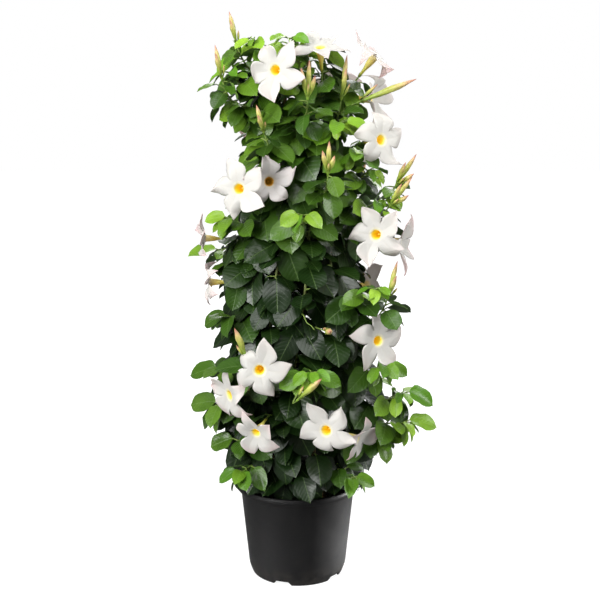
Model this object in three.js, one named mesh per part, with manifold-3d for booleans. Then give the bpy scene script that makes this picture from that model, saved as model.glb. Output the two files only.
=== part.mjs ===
// Potted mandevilla: a climber with white trumpet flowers, trained up a tower of bamboo canes in a
// round black nursery pot. Millimetres, +Z up, the front of the plant faces -Y, and the origin is
// the middle of the pot's base, on the surface that it stands on.
import * as THREE from "three";
import { mergeVertices } from "three/addons/utils/BufferGeometryUtils.js";
import Module from "manifold-3d";

const wasm = await Module();
wasm.setup();

// Left between pieces that rest on or in each other.
const GAP = 0.3;

// Pot
const POT_HEIGHT = 148;
const POT_SIDES = 25;
const LIP_RADIUS = 95;
const LIP_DEPTH = 10;
const WALL = 2;
const WALL_TOP_RADIUS = 89;
const WALL_LOW_RADIUS = 76;
const WALL_LOW_Z = 14;
const FOOT_RADIUS = 71;
const FOOT_WIDTH = 2.5;
const BASE_RAISED = 7;
const PAD_RADIUS = 26;
const NOTCHES = 5;
const NOTCH_FIRST = -109;
const NOTCH_FLOOR_WIDTH = 29;
const NOTCH_TOP_WIDTH = 19;
const DRAINS = 6;
const DRAIN_RADIUS = 5;
const DRAIN_CIRCLE = 50;

// Soil
const SOIL_LEVEL = 132;
const SOIL_SIDES = 24;

// Tower of canes with wire hoops
const CANES = 4;
const CANE_FIRST = 45;
const CANE_RADIUS = 3.5;
const CANE_SIDES = 6;
const CANE_FOOT_Z = 24;
const CANE_TOP_Z = 800;
const CANE_FOOT_SPREAD = 64;
const CANE_TOP_SPREAD = 22;
const HOOP_WIRE_RADIUS = 1.3;
const HOOP_HEIGHTS = { hoop_middle: 500, hoop_top: 770 };

// Climbing stems
const VINES = 10;
const STEM_RADIUS = 2.2;
const STEM_SIDES = 4;
// The height of the short band round a joint that the leaves grow from.
const BAND = 3;
const STEM_FOOT_Z = 89;
const STRAIGHT_TO_Z = 141;
const BRANCH_RADIUS = 1.3;
const BRANCH_SIDES = 3;
const TWIST_FROM_Z = 200;
const TWIST_PER_MM = 0.1;
const FIRST_LEAVES_Z = 145;
const INTERNODE = 46;
const TALL_TOP_Z = 806;
const SHORT_TOP_Z = 736;
// How far a stem runs from the pot's axis: [height, distance].
const STEM_DISTANCE = [
  [STRAIGHT_TO_Z, 36],
  [200, 70],
  [330, 80],
  [450, 74],
  [600, 58],
  [720, 44],
  [TALL_TOP_Z, 34],
];

// Leaves
const LEAF_LENGTH = 57;
const LEAF_WIDTH_SHARE = 0.72;
const PETIOLE_LENGTH = 12;
const PETIOLE_RISE = 30;
const LEAF_FOLD = 0.22;
const LEAF_ARCH = 0.2;
const LEAF_RIB_AT = 0.42;
// One edge of the blade: [share of the length, share of the half width].
const LEAF_EDGE = [
  [0.2, 0.84],
  [0.58, 0.86],
];
const LEAF_TRIES = 14;
const LEAF = { thickness: 0.8, width: 1, petiole: 0.9 };
// A stouter leaf, to test whether the real one has room.
const PROBE = { thickness: 2.2, width: 1.04, petiole: 1.8 };

// Flowers
const LOBES = 5;
const BLOOM_REACH = 45;
const TUBE_LENGTH = 42;
const LOBE_THICKNESS = 0.8;

const UP = new THREE.Vector3(0, 0, 1);
// Where most of the light came from while the plant grew.
const SUN = new THREE.Vector3(0, -0.45, 0.75);
const rad = THREE.MathUtils.degToRad;

// Blooms: the middle of the mouth, the way it faces (degrees right of the front and above the
// horizon), its turn about that axis, its size, and how far the lobes lean forward.
const BLOOMS = [
  { name: "bloom_01", at: [-31, -92, 781], right: -26, above: 4, turn: 20 },
  { name: "bloom_02", at: [32, -60, 812], right: -10, above: 66, turn: 54, size: 0.92 },
  { name: "bloom_03", at: [112, -26, 800], right: 84, above: 52, turn: 18, size: 0.92 },
  { name: "bloom_04", at: [108, 0, 738], right: 70, above: 2, turn: 10, lean: 0.55 },
  { name: "bloom_05", at: [119, -72, 683], right: 34, above: 10, turn: 40 },
  { name: "bloom_06", at: [-82, -112, 618], right: -20, above: 3, turn: 10 },
  { name: "bloom_07", at: [-40, -92, 626], right: 8, above: 6, turn: 24, size: 0.86, lean: 0.5 },
  { name: "bloom_08", at: [-136, -36, 536], right: -84, above: 3, turn: 0, size: 0.75, lean: 0.35 },
  { name: "bloom_09", at: [-130, -46, 472], right: -90, above: 0, turn: 18, size: 0.8 },
  { name: "bloom_10", at: [112, -92, 550], right: -22, above: 4, turn: 12 },
  { name: "bloom_11", at: [152, -28, 528], right: 76, above: -6, turn: 50, lean: 0.45 },
  { name: "bloom_12", at: [118, -84, 392], right: 28, above: 4, turn: 36 },
  { name: "bloom_13", at: [-54, -136, 362], right: -4, above: 6, turn: -8 },
  { name: "bloom_14", at: [-99, -112, 318], right: -58, above: -8, turn: 30 },
  { name: "bloom_15", at: [-60, -134, 268], right: -26, above: -20, turn: 0, size: 0.85, lean: 0.4 },
  { name: "bloom_16", at: [41, -142, 274], right: -24, above: 4, turn: 20 },
  { name: "bloom_17", at: [88, -110, 250], right: 66, above: -14, turn: 0, size: 0.85, lean: 0.45 },
  { name: "bloom_18", at: [58, 104, 748], right: 150, above: 24, turn: 15 },
  { name: "bloom_19", at: [-52, 104, 690], right: -156, above: 10, turn: 45 },
  { name: "bloom_20", at: [20, 124, 560], right: 172, above: 4, turn: 5 },
  { name: "bloom_21", at: [112, 88, 440], right: 128, above: 0, turn: 28 },
  { name: "bloom_22", at: [-96, 98, 380], right: -136, above: -4, turn: 12 },
  { name: "bloom_23", at: [24, 142, 300], right: 176, above: -6, turn: 33 },
];

// Bud sprays: where the peduncle ends, the way the buds point, how many and how long.
const SPRAYS = [
  { name: "buds_01", at: [-86, -20, 812], right: -60, above: 74, buds: 2, length: 42 },
  { name: "buds_02", at: [-106, -56, 764], right: -60, above: 76, buds: 2, length: 44 },
  { name: "buds_03", at: [14, -92, 738], right: 30, above: 84, buds: 3, length: 50 },
  { name: "buds_04", at: [62, -52, 736], right: 40, above: 78, buds: 2, length: 56 },
  { name: "buds_05", at: [84, -46, 733], right: 74, above: 22, buds: 1, length: 84 },
  { name: "buds_06", at: [-46, -92, 692], right: -40, above: 66, buds: 2, length: 34 },
  { name: "buds_07", at: [43, -96, 634], right: 10, above: 78, buds: 3, length: 40 },
  { name: "buds_08", at: [142, -40, 612], right: 52, above: 50, buds: 3, length: 50 },
  { name: "buds_09", at: [130, -80, 452], right: 40, above: 68, buds: 2, length: 52 },
  { name: "buds_10", at: [-72, -122, 374], right: -50, above: 66, buds: 1, length: 46 },
  { name: "buds_11", at: [-60, 96, 780], right: -160, above: 66, buds: 3, length: 48 },
  { name: "buds_12", at: [92, 96, 590], right: 140, above: 60, buds: 2, length: 46 },
  { name: "buds_13", at: [132, -56, 584], right: 62, above: 48, buds: 3, length: 46 },
];

// Leafy side shoots: where the tip ends, the way it points and how many pairs of leaves it has.
const SHOOTS = [
  { at: [-60, -24, 820], right: -30, above: 50, pairs: 2 },
  { at: [-96, -40, 776], right: -56, above: 50, pairs: 2 },
  { at: [-72, -52, 728], right: -70, above: 20, pairs: 2 },
  { at: [-12, -40, 824], right: -16, above: 60, pairs: 2 },
  { at: [60, -74, 706], right: 36, above: 30, pairs: 2 },
  { at: [84, -66, 664], right: 40, above: 20, pairs: 2 },
  { at: [104, -36, 636], right: 54, above: 40, pairs: 3 },
  { at: [118, -40, 590], right: 60, above: 24, pairs: 3 },
  { at: [8, -104, 580], right: 0, above: 40, pairs: 2 },
  { at: [-96, -56, 566], right: -60, above: 20, pairs: 2 },
  { at: [112, -92, 470], right: 44, above: 40, pairs: 3 },
  { at: [-98, -52, 420], right: -60, above: 10, pairs: 2 },
  { at: [20, -130, 356], right: 5, above: 30, pairs: 3 },
  { at: [126, -84, 354], right: 44, above: 30, pairs: 2 },
  { at: [156, -64, 306], right: 58, above: 34, pairs: 3 },
  { at: [158, -70, 262], right: 58, above: 8, pairs: 3 },
  { at: [118, -64, 236], right: 52, above: 0, pairs: 2 },
  { at: [-112, -58, 340], right: -60, above: 24, pairs: 2 },
  { at: [-114, -58, 286], right: -60, above: 8, pairs: 2 },
  { at: [-88, -66, 232], right: -46, above: 0, pairs: 2 },
  { at: [-82, -84, 190], right: -44, above: -20, pairs: 1 },
  { at: [78, -92, 182], right: 40, above: -20, pairs: 1 },
  { at: [-118, 60, 500], right: -118, above: 30, pairs: 2 },
  { at: [112, 60, 290], right: 118, above: 20, pairs: 2 },
  { at: [-20, 122, 450], right: -176, above: 30, pairs: 2 },
];

// A repeatable draw from 0 to 1 for a whole number.
function draw(n) {
  const x = Math.sin(n * 12.9898 + 4.137) * 43758.5453;
  return x - Math.floor(x);
}

// A level unit vector at an azimuth in degrees, counter-clockwise from +X seen from above.
function level(azimuth) {
  return new THREE.Vector3(Math.cos(rad(azimuth)), Math.sin(rad(azimuth)), 0);
}

// A unit vector so many degrees right of the front and above the horizon.
function facing(right, above) {
  return level(right - 90)
    .multiplyScalar(Math.cos(rad(above)))
    .addScaledVector(UP, Math.sin(rad(above)));
}

// The value at x on a line through [x, value] points.
function onLine(points, x) {
  const last = points.length - 2;
  const i = Math.min(last, Math.max(0, points.filter((p) => p[0] <= x).length - 1));
  const share = (x - points[i][0]) / (points[i + 1][0] - points[i][0]);
  return THREE.MathUtils.lerp(points[i][1], points[i + 1][1], THREE.MathUtils.clamp(share, 0, 1));
}

function toSolid(geometry) {
  const bare = geometry.clone();
  bare.deleteAttribute("normal");
  bare.deleteAttribute("uv");
  const merged = mergeVertices(bare, 1e-4);
  return new wasm.Manifold(
    new wasm.Mesh({
      numProp: 3,
      vertProperties: new Float32Array(merged.attributes.position.array),
      triVerts: new Uint32Array(merged.index.array),
    }),
  );
}

function toGeometry(solid) {
  const mesh = solid.getMesh();
  const geometry = new THREE.BufferGeometry()
    .setAttribute("position", new THREE.BufferAttribute(mesh.vertProperties, 3))
    .setIndex(new THREE.BufferAttribute(mesh.triVerts, 1))
    .toNonIndexed();
  geometry.computeVertexNormals();
  return geometry;
}

// A closed geometry from points and faces of point numbers.
function facetedGeometry(points, faces) {
  return new THREE.BufferGeometry().setFromPoints(points).setIndex(faces.flat());
}

const material = (color, roughness) => new THREE.MeshStandardMaterial({ color, roughness, metalness: 0 });
const materials = {
  pot: material(0x2b2b2d, 0.55),
  soil: material(0x2e231b, 0.95),
  cane: material(0xb5894f, 0.6),
  hoop: new THREE.MeshStandardMaterial({ color: 0x3b4a35, roughness: 0.45, metalness: 0.4 }),
  foliage: material(0x2f5a22, 0.4),
  petal: material(0xf4f0ee, 0.55),
  bud: material(0xb9c057, 0.5),
};

const plant = new THREE.Group();

function addNode(name, geometry, finish) {
  const mesh = new THREE.Mesh(geometry, finish);
  mesh.name = name;
  plant.add(mesh);
  return mesh;
}

// Every solid so far. What belongs to a climbing stem carries the number of it.
const placed = [];

function place(solid, vine = null) {
  placed.push({ solid, vine, box: solid.boundingBox() });
  return solid;
}

// Whether a solid runs into another one that isn't of the stem with the given number.
function meets(solid, ownVine = NaN) {
  const box = solid.boundingBox();
  return placed.some((other) => {
    if (other.vine === ownVine) return false;
    const apart = [0, 1, 2].some((i) => box.min[i] > other.box.max[i] || other.box.min[i] > box.max[i]);
    return !apart && !solid.intersect(other.solid).isEmpty();
  });
}

// Pot: a tapered wall with a turned-out lip, on a raised base with a middle pad and a foot ring that
// is notched to let water out.
function potSolid() {
  const shoulder = POT_HEIGHT - LIP_DEPTH;
  const profile = [
    [0, 0],
    [PAD_RADIUS, 0],
    [PAD_RADIUS + 5, BASE_RAISED],
    [FOOT_RADIUS - FOOT_WIDTH - 1, BASE_RAISED],
    [FOOT_RADIUS - FOOT_WIDTH, 0],
    [FOOT_RADIUS, 0],
    [FOOT_RADIUS + 3, BASE_RAISED],
    [WALL_LOW_RADIUS, WALL_LOW_Z],
    [WALL_TOP_RADIUS, shoulder],
    [LIP_RADIUS, shoulder + 1],
    [LIP_RADIUS, POT_HEIGHT - 1],
    [LIP_RADIUS - 1, POT_HEIGHT],
    [WALL_TOP_RADIUS, POT_HEIGHT],
    [WALL_TOP_RADIUS - WALL, shoulder - 4],
    [WALL_LOW_RADIUS - WALL, WALL_LOW_Z + 1],
    [FOOT_RADIUS - WALL, BASE_RAISED + WALL],
    [PAD_RADIUS + 6, BASE_RAISED + WALL],
    [PAD_RADIUS + 1, WALL],
    [0, WALL],
  ].map(([r, z]) => new THREE.Vector2(r, z));
  const shell = new THREE.LatheGeometry(profile, POT_SIDES).rotateX(Math.PI / 2);

  const half = NOTCH_FLOOR_WIDTH / 2;
  const slope = (NOTCH_FLOOR_WIDTH - NOTCH_TOP_WIDTH) / 2 / BASE_RAISED;
  const notch = new THREE.Shape([
    new THREE.Vector2(-half - slope, -1),
    new THREE.Vector2(half + slope, -1),
    new THREE.Vector2(NOTCH_TOP_WIDTH / 2, BASE_RAISED),
    new THREE.Vector2(-NOTCH_TOP_WIDTH / 2, BASE_RAISED),
  ]);
  const notchLength = 20;
  const cutters = Array.from({ length: NOTCHES }, (_, i) =>
    new THREE.ExtrudeGeometry(notch, { depth: notchLength, bevelEnabled: false })
      .rotateX(Math.PI / 2)
      .rotateZ(Math.PI / 2)
      .translate(FOOT_RADIUS - notchLength / 2, 0, 0)
      .rotateZ(rad(NOTCH_FIRST + (i * 360) / NOTCHES)),
  );
  const drains = Array.from({ length: DRAINS }, (_, i) => {
    const middle = level((i * 360) / DRAINS).multiplyScalar(DRAIN_CIRCLE);
    return new THREE.CylinderGeometry(DRAIN_RADIUS, DRAIN_RADIUS, 4 * WALL, 8)
      .rotateX(Math.PI / 2)
      .translate(middle.x, middle.y, BASE_RAISED);
  });
  return [...cutters, ...drains].reduce((left, cutter) => left.subtract(toSolid(cutter)), toSolid(shell));
}

// A cane leans inwards from its foot in the soil to the top of the tower.
function caneSolid(i, extra = 0) {
  const lean = level(CANE_FIRST + (i * 360) / CANES);
  const foot = lean.clone().multiplyScalar(CANE_FOOT_SPREAD).setZ(CANE_FOOT_Z - extra);
  const top = lean.clone().multiplyScalar(CANE_TOP_SPREAD).setZ(CANE_TOP_Z);
  const along = top.clone().sub(foot);
  const cane = new THREE.CylinderGeometry(
    CANE_RADIUS + extra,
    CANE_RADIUS + extra,
    along.length(),
    CANE_SIDES,
  );
  const turn = new THREE.Quaternion().setFromUnitVectors(new THREE.Vector3(0, 1, 0), along.normalize());
  const middle = foot.add(top).multiplyScalar(0.5);
  return toSolid(cane.applyQuaternion(turn).translate(middle.x, middle.y, middle.z));
}

function caneSpread(z) {
  return onLine(
    [
      [CANE_FOOT_Z, CANE_FOOT_SPREAD],
      [CANE_TOP_Z, CANE_TOP_SPREAD],
    ],
    z,
  );
}

// A wire hoop lies round the outside of the canes.
function hoopGeometry(z) {
  const radius = caneSpread(z) + CANE_RADIUS + HOOP_WIRE_RADIUS + GAP;
  return new THREE.TorusGeometry(radius, HOOP_WIRE_RADIUS, 4, 16).translate(0, 0, z);
}

// The middle of a stem at a height: it leaves the soil upright, spreads to the outside of the canes
// and then winds round the tower.
function stemPoint(vine, z) {
  const twist = TWIST_PER_MM * Math.max(0, z - TWIST_FROM_Z);
  const sway = 2.5 * Math.sin(z / 31 + vine * 1.7);
  const away = onLine(STEM_DISTANCE, z) + (z > TWIST_FROM_Z ? sway : 0);
  return level((vine * 360) / VINES + twist).multiplyScalar(away).setZ(z);
}

// Soil fills the pot, with a plain hole for each cane and each stem.
function soilSolid() {
  const tight = Math.cos(Math.PI / POT_SIDES);
  const wallInside = (z) => {
    const inner = [
      [WALL_LOW_Z + 1, WALL_LOW_RADIUS - WALL],
      [POT_HEIGHT - LIP_DEPTH - 4, WALL_TOP_RADIUS - WALL],
    ];
    return (onLine(inner, z) - GAP - 1) * tight;
  };
  const low = BASE_RAISED + WALL + GAP;
  const profile = [
    [0, low],
    [FOOT_RADIUS - WALL - 2, low],
    [wallInside(WALL_LOW_Z + 2), WALL_LOW_Z + 2],
    [wallInside(SOIL_LEVEL - 3), SOIL_LEVEL - 3],
    [0.8 * WALL_TOP_RADIUS, SOIL_LEVEL],
    [0, SOIL_LEVEL + 1],
  ].map(([r, z]) => new THREE.Vector2(r, z));
  const bed = toSolid(new THREE.LatheGeometry(profile, SOIL_SIDES).rotateX(Math.PI / 2));
  const caneHoles = Array.from({ length: CANES }, (_, i) => caneSolid(i, GAP));
  const stemHoles = Array.from({ length: VINES }, (_, vine) => {
    const foot = stemPoint(vine, STEM_FOOT_Z);
    const depth = SOIL_LEVEL + 10 - STEM_FOOT_Z;
    const corner = (STEM_RADIUS + 2 * GAP) * Math.SQRT2;
    const hole = new THREE.CylinderGeometry(corner, corner, depth, 4).rotateX(Math.PI / 2);
    return toSolid(hole.translate(foot.x, foot.y, STEM_FOOT_Z - GAP + depth / 2));
  });
  return [...caneHoles, ...stemHoles].reduce((left, hole) => left.subtract(hole), bed);
}

// A rod is a stem or a branch: a curve with evenly spaced joints, and the leaves at them.
function makeRod(vine, curve, steps, radius, sides) {
  const { tangents, normals, binormals } = curve.computeFrenetFrames(steps);
  const joints = curve.getSpacedPoints(steps).map((at, i) => ({
    at,
    along: tangents[i],
    front: normals[i],
    beside: binormals[i],
    leaves: [],
  }));
  return { vine, radius, sides, joints };
}

// The closed skin of a rod. A joint with leaves has two rings, and each leaf takes the place of the
// triangle between them that lies furthest out on its side.
function rodGeometry({ radius, sides, joints }) {
  const points = [];
  const faces = [];
  const corners = Array.from({ length: sides }, (_, i) => i);

  function addRing({ at, along, front, beside }, below) {
    const start = points.length;
    for (const i of corners) {
      const turn = (2 * Math.PI * (i + 0.5)) / sides;
      const corner = at.clone().addScaledVector(along, -below);
      corner.addScaledVector(front, radius * Math.cos(turn));
      points.push(corner.addScaledVector(beside, radius * Math.sin(turn)));
    }
    return start;
  }

  function stripBetween(low, high) {
    return corners.flatMap((i) => {
      const j = (i + 1) % sides;
      return [
        [low + i, low + j, high + j],
        [low + i, high + j, high + i],
      ];
    });
  }

  let ring = addRing(joints[0], 0);
  for (const joint of joints.slice(1)) {
    if (joint.leaves.length) {
      const low = addRing(joint, BAND);
      faces.push(...stripBetween(ring, low));
      ring = low;
    }
    const top = addRing(joint, 0);
    const strip = stripBetween(ring, top);
    for (const pose of joint.leaves) {
      const reach = strip.map((face) =>
        face.reduce((sum, v) => sum + points[v].clone().sub(pose.root).dot(pose.petiole), 0),
      );
      const [face] = strip.splice(reach.indexOf(Math.max(...reach)), 1);
      faces.push(...growOn(face, leafSkin(pose, LEAF), points));
    }
    faces.push(...strip);
    ring = top;
  }
  for (let i = 1; i < sides - 1; i++) {
    faces.push([0, i + 1, i], [ring, ring + i, ring + i + 1]);
  }
  return facetedGeometry(points, faces);
}

// Sets a leaf's skin on a triangle of a stem, turned so that the petiole twists least.
function growOn(face, skin, points) {
  const turns = [0, 1, 2].map((k) => [face[k], face[(k + 1) % 3], face[(k + 2) % 3]]);
  const twist = (turn) => turn.reduce((sum, v, i) => sum + points[v].distanceTo(skin.collar[i]), 0);
  const root = turns.reduce((best, turn) => (twist(turn) < twist(best) ? turn : best));
  const first = points.length;
  points.push(...skin.points);
  return skin.faces.map((corners) => corners.map((v) => (v < 0 ? root[-v - 1] : first + v)));
}

// A climbing stem. Its first joint above the foot stands just above the soil.
function growStem(vine) {
  const top = (vine % 2 ? SHORT_TOP_Z : TALL_TOP_Z) - 14 * draw(700 + vine);
  const heights = [STEM_FOOT_Z, STEM_FOOT_Z + 16, STRAIGHT_TO_Z - 14];
  for (let z = STRAIGHT_TO_Z; z < top - 10; z += 32) heights.push(z);
  heights.push(top);
  const curve = new THREE.CatmullRomCurve3(heights.map((z) => stemPoint(vine, z)));
  return makeRod(vine, curve, Math.round(curve.getLength() / INTERNODE), STEM_RADIUS, STEM_SIDES);
}

// A branch leaves a stem below its tip and bends round to the way that the tip points. It starts
// from the nearest place from which it reaches the tip without crossing anything.
function growBranch(stems, tip, direction, steps) {
  const aim = tip.clone().addScaledVector(direction, -30).addScaledVector(UP, -22);
  const starts = stems.flatMap(({ vine, joints }) =>
    joints.slice(2).flatMap(({ at }, i) =>
      [0.22, 0.78].map((share) => {
        const from = joints[i + 1].at.clone().lerp(at, share);
        return { vine, from, far: from.distanceTo(aim) };
      }),
    ),
  );
  starts.sort((one, other) => one.far - other.far);
  for (const { vine, from } of starts) {
    const bend = tip.clone().addScaledVector(direction, -0.5 * tip.distanceTo(from));
    const curve = new THREE.QuadraticBezierCurve3(from, bend, tip);
    const branch = makeRod(vine, curve, steps, BRANCH_RADIUS, BRANCH_SIDES);
    const solid = toSolid(rodGeometry(branch));
    if (meets(solid, vine)) continue;
    place(solid, vine);
    return branch;
  }
  throw new Error("no branch reaches the tip");
}

// Where a leaf's petiole starts and the way it rises, where its blade starts and lies, and its size.
function leafPose(root, heading, droop, tilt, length) {
  const out = level(heading);
  const rise = PETIOLE_RISE - 0.6 * Math.max(0, droop);
  const petiole = out.clone().multiplyScalar(Math.cos(rad(rise))).addScaledVector(UP, Math.sin(rad(rise)));
  const base = root.clone().addScaledVector(petiole, PETIOLE_LENGTH);
  const axis = out.multiplyScalar(Math.cos(rad(droop))).addScaledVector(UP, -Math.sin(rad(droop)));
  const across = axis.clone().cross(UP).normalize();
  const light = new THREE.Vector3(base.x, base.y, 0).setLength(0.65);
  light.add(SUN).addScaledVector(across, tilt);
  const normal = light.addScaledVector(axis, -light.dot(axis)).normalize();
  const side = normal.clone().cross(axis);
  return { root, petiole, base, axis, side, normal, length, half: (length * LEAF_WIDTH_SHARE) / 2 };
}

// A leaf's poses, the wanted one first. The later ones turn and shrink it further, to bend it clear
// of what is there already.
function leafTry(leaf, root, attempt) {
  const way = attempt % 2 ? 1 : -1;
  const turn = way * 13 * Math.ceil(attempt / 2);
  const drop = attempt ? 9 * (((attempt * 7) % 5) - 2) : 0;
  const size = leaf.length * (1 - 0.025 * attempt);
  return leafPose(root, leaf.heading + turn, leaf.droop + drop, leaf.tilt, size);
}

function bladePoint(pose, along, across, lift) {
  return pose.base
    .clone()
    .addScaledVector(pose.axis, pose.length * along)
    .addScaledVector(pose.side, pose.half * across)
    .addScaledVector(
      pose.normal,
      pose.half * LEAF_FOLD * Math.abs(across) - pose.length * LEAF_ARCH * along * along + lift,
    );
}

// A leaf's skin: a three-sided petiole that widens into a folded and arched blade with a point. In
// the corners' names, r and l are the right and left edges, m the rib, and capitals the underside.
// The skin is open at the root, whose three corners are numbered -1, -2 and -3.
function leafSkin(pose, { thickness, width, petiole }) {
  const edge = LEAF_EDGE.map(([along, across]) => [along, across * width]);
  const sheet = (lift) => [
    ...edge.map(([along, across]) => bladePoint(pose, along, -across, lift)),
    ...edge.map(([along, across]) => bladePoint(pose, along, across, lift)),
    bladePoint(pose, LEAF_RIB_AT, 0, lift),
  ];
  const top = pose.normal.clone().projectOnPlane(pose.petiole).normalize();
  const right = top.clone().cross(pose.petiole);
  const collar = [
    pose.base.clone().addScaledVector(right, petiole).addScaledVector(top, petiole / 2),
    pose.base.clone().addScaledVector(right, -petiole).addScaledVector(top, petiole / 2),
    pose.base.clone().addScaledVector(top, -petiole),
  ];
  const tip = bladePoint(pose, width, 0, 0);
  const points = [...sheet(thickness / 2), ...sheet(-thickness / 2), ...collar, tip];
  const [r1, r2, l1, l2, m, R1, R2, L1, L2, M, a, b, p, t] = points.keys();
  const above = [b, r1, r2, t, l2, l1, a];
  const below = [p, R1, R2, t, L2, L1];
  const faces = [
    ...above.map((v, i) => [m, v, above[(i + 1) % above.length]]),
    ...below.map((v, i) => [M, below[(i + 1) % below.length], v]),
    [p, R1, r1],
    [p, r1, b],
    [R1, R2, r2],
    [R1, r2, r1],
    [R2, t, r2],
    [t, L2, l2],
    [L2, L1, l1],
    [L2, l1, l2],
    [L1, p, a],
    [L1, a, l1],
    [-1, -2, b],
    [-1, b, a],
    [b, -2, -3],
    [b, -3, p],
    [-1, a, p],
    [-1, p, -3],
  ];
  return { points, faces, collar };
}

// A leaf closed at its root, from a point on its petiole.
function leafSolid(pose, from, form) {
  const skin = leafSkin(pose, form);
  const shift = from.clone().sub(pose.base);
  const points = skin.collar.map((corner) => corner.clone().add(shift));
  return toSolid(facetedGeometry(points, [[1, 0, 2], ...growOn([0, 1, 2], skin, points)]));
}

// A leaf takes the first of its poses that is clear of everything, and is left out if none is.
function growLeaf({ vine, joint, ...wanted }) {
  const root = joint.at.clone().addScaledVector(joint.along, -BAND / 2);
  for (let attempt = 0; attempt < LEAF_TRIES; attempt++) {
    const pose = leafTry(wanted, root, attempt);
    const clearOfStem = pose.root.clone().addScaledVector(pose.petiole, 2 * STEM_RADIUS);
    if (meets(leafSolid(pose, clearOfStem, PROBE))) continue;
    if (meets(leafSolid(pose, pose.root, PROBE), vine)) continue;
    place(leafSolid(pose, pose.root, LEAF), vine);
    joint.leaves.push(pose);
    return;
  }
}

// The leaves of a climbing stem: pairs that turn by a right angle from joint to joint, smaller and
// less drooping towards the tip.
function stemLeaves({ vine, joints }) {
  const leafy = joints.filter(({ at }) => at.z > FIRST_LEAVES_Z);
  return leafy.flatMap((joint, k) =>
    [1, -1].map((way) => {
      const seed = 1000 + vine * 97 + k * 4 + way;
      const outwards = THREE.MathUtils.radToDeg(Math.atan2(joint.at.y, joint.at.x));
      const spread = (k % 2 ? 30 : 72) + 24 * (draw(seed) - 0.5);
      const toTip = leafy.length - 1 - k;
      const young = toTip < 2 ? 0.72 + 0.1 * toTip : 1;
      const droop = 24 + 40 * draw(seed + 5000);
      return {
        vine,
        joint,
        heading: outwards + way * spread,
        droop: toTip < 2 ? droop - 26 : droop,
        tilt: 0.7 * (draw(seed + 9000) - 0.5),
        length: LEAF_LENGTH * young * (0.88 + 0.24 * draw(seed + 13000)),
      };
    }),
  );
}

// The leaves of a side shoot, in pairs to either side of it.
function shootLeaves(shoot, index, { vine, joints }) {
  return joints.slice(-shoot.pairs).flatMap((joint, k) =>
    [1, -1].map((way) => {
      const seed = 3000 + index * 31 + k * 4 + way;
      const last = k === shoot.pairs - 1;
      return {
        vine,
        joint,
        heading: shoot.right - 90 + way * (last ? 42 : 78) + 16 * (draw(seed) - 0.5),
        droop: 4 + 24 * draw(seed + 5000) - (shoot.above < 0 ? shoot.above : 0),
        tilt: 0.5 * (draw(seed + 9000) - 0.5),
        length: LEAF_LENGTH * (last ? 0.78 : 0.95),
      };
    }),
  );
}

// A bloom faces +Z with its mouth at the origin: a slender tube that widens to the mouth, and five
// lobes set like a pinwheel, each with its point to one side.
function bloomGeometry(lean = 0.16) {
  const ring = (radius, z) =>
    Array.from({ length: LOBES }, (_, i) => level(((i - 0.5) * 360) / LOBES).multiplyScalar(radius).setZ(z));
  const onLobe = (i, radius, degrees, lift) =>
    level((i * 360) / LOBES + degrees)
      .multiplyScalar(radius)
      .setZ(lean * (radius - 9) + lift);
  const lobe = (lift) =>
    Array.from({ length: LOBES }, (_, i) => [
      onLobe(i, 0.68 * BLOOM_REACH, -28, 2 + lift),
      onLobe(i, 0.8 * BLOOM_REACH, 28, lift - 2),
      onLobe(i, 0.5 * BLOOM_REACH, 2, lift + 1.5),
    ]).flat();
  const notches = (lift) => ring(0.38 * BLOOM_REACH, lean * 7 + lift);
  const half = LOBE_THICKNESS / 2;
  const tips = Array.from({ length: LOBES }, (_, i) => onLobe(i, BLOOM_REACH, 12, -1));
  const points = [
    ...ring(2, -TUBE_LENGTH),
    ...ring(6, -0.42 * TUBE_LENGTH),
    ...ring(9.5, -2),
    ...notches(-half),
    ...lobe(-half),
    ...tips,
    ...notches(half),
    ...lobe(half),
    ...ring(8.6, 0.6),
    new THREE.Vector3(0, 0, -0.5 * TUBE_LENGTH),
  ];
  const start = [0, 5, 10, 15, 20, 35, 40, 45, 60, 65];
  const [foot, belly, mouthOut, notchLow, lobeLow, tip, notchTop, lobeTop, mouthIn, pit] = start;
  const faces = [
    [foot, foot + 2, foot + 1],
    [foot, foot + 3, foot + 2],
    [foot, foot + 4, foot + 3],
  ];
  for (let i = 0; i < LOBES; i++) {
    const j = (i + 1) % LOBES;
    for (const [low, high] of [
      [foot, belly],
      [belly, mouthOut],
    ]) {
      faces.push([low + i, low + j, high + j], [low + i, high + j, high + i]);
    }
    const outline = (notch, side) => [notch + i, side + 3 * i, tip + i, side + 3 * i + 1, notch + j];
    const low = [...outline(notchLow, lobeLow), mouthOut + j, mouthOut + i];
    const top = [...outline(notchTop, lobeTop), mouthIn + j, mouthIn + i];
    low.forEach((v, k) => faces.push([lobeLow + 3 * i + 2, low[(k + 1) % 7], v]));
    top.forEach((v, k) => faces.push([lobeTop + 3 * i + 2, v, top[(k + 1) % 7]]));
    for (let k = 0; k < 4; k++) {
      if (low[k + 1] !== top[k + 1]) faces.push([low[k], low[k + 1], top[k + 1]]);
      if (low[k] !== top[k]) faces.push([low[k], top[k + 1], top[k]]);
    }
    faces.push([mouthIn + i, mouthIn + j, pit]);
  }
  return facetedGeometry(points, faces);
}

function bloomMesh(bloom) {
  const direction = facing(bloom.right, bloom.above);
  const mesh = addNode(bloom.name, bloomGeometry(bloom.lean), materials.petal);
  mesh.scale.setScalar(bloom.size ?? 1);
  mesh.quaternion
    .setFromUnitVectors(UP, direction)
    .multiply(new THREE.Quaternion().setFromAxisAngle(UP, rad(bloom.turn)));
  mesh.position.set(...bloom.at);
  mesh.updateMatrixWorld(true);
  return mesh;
}

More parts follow.
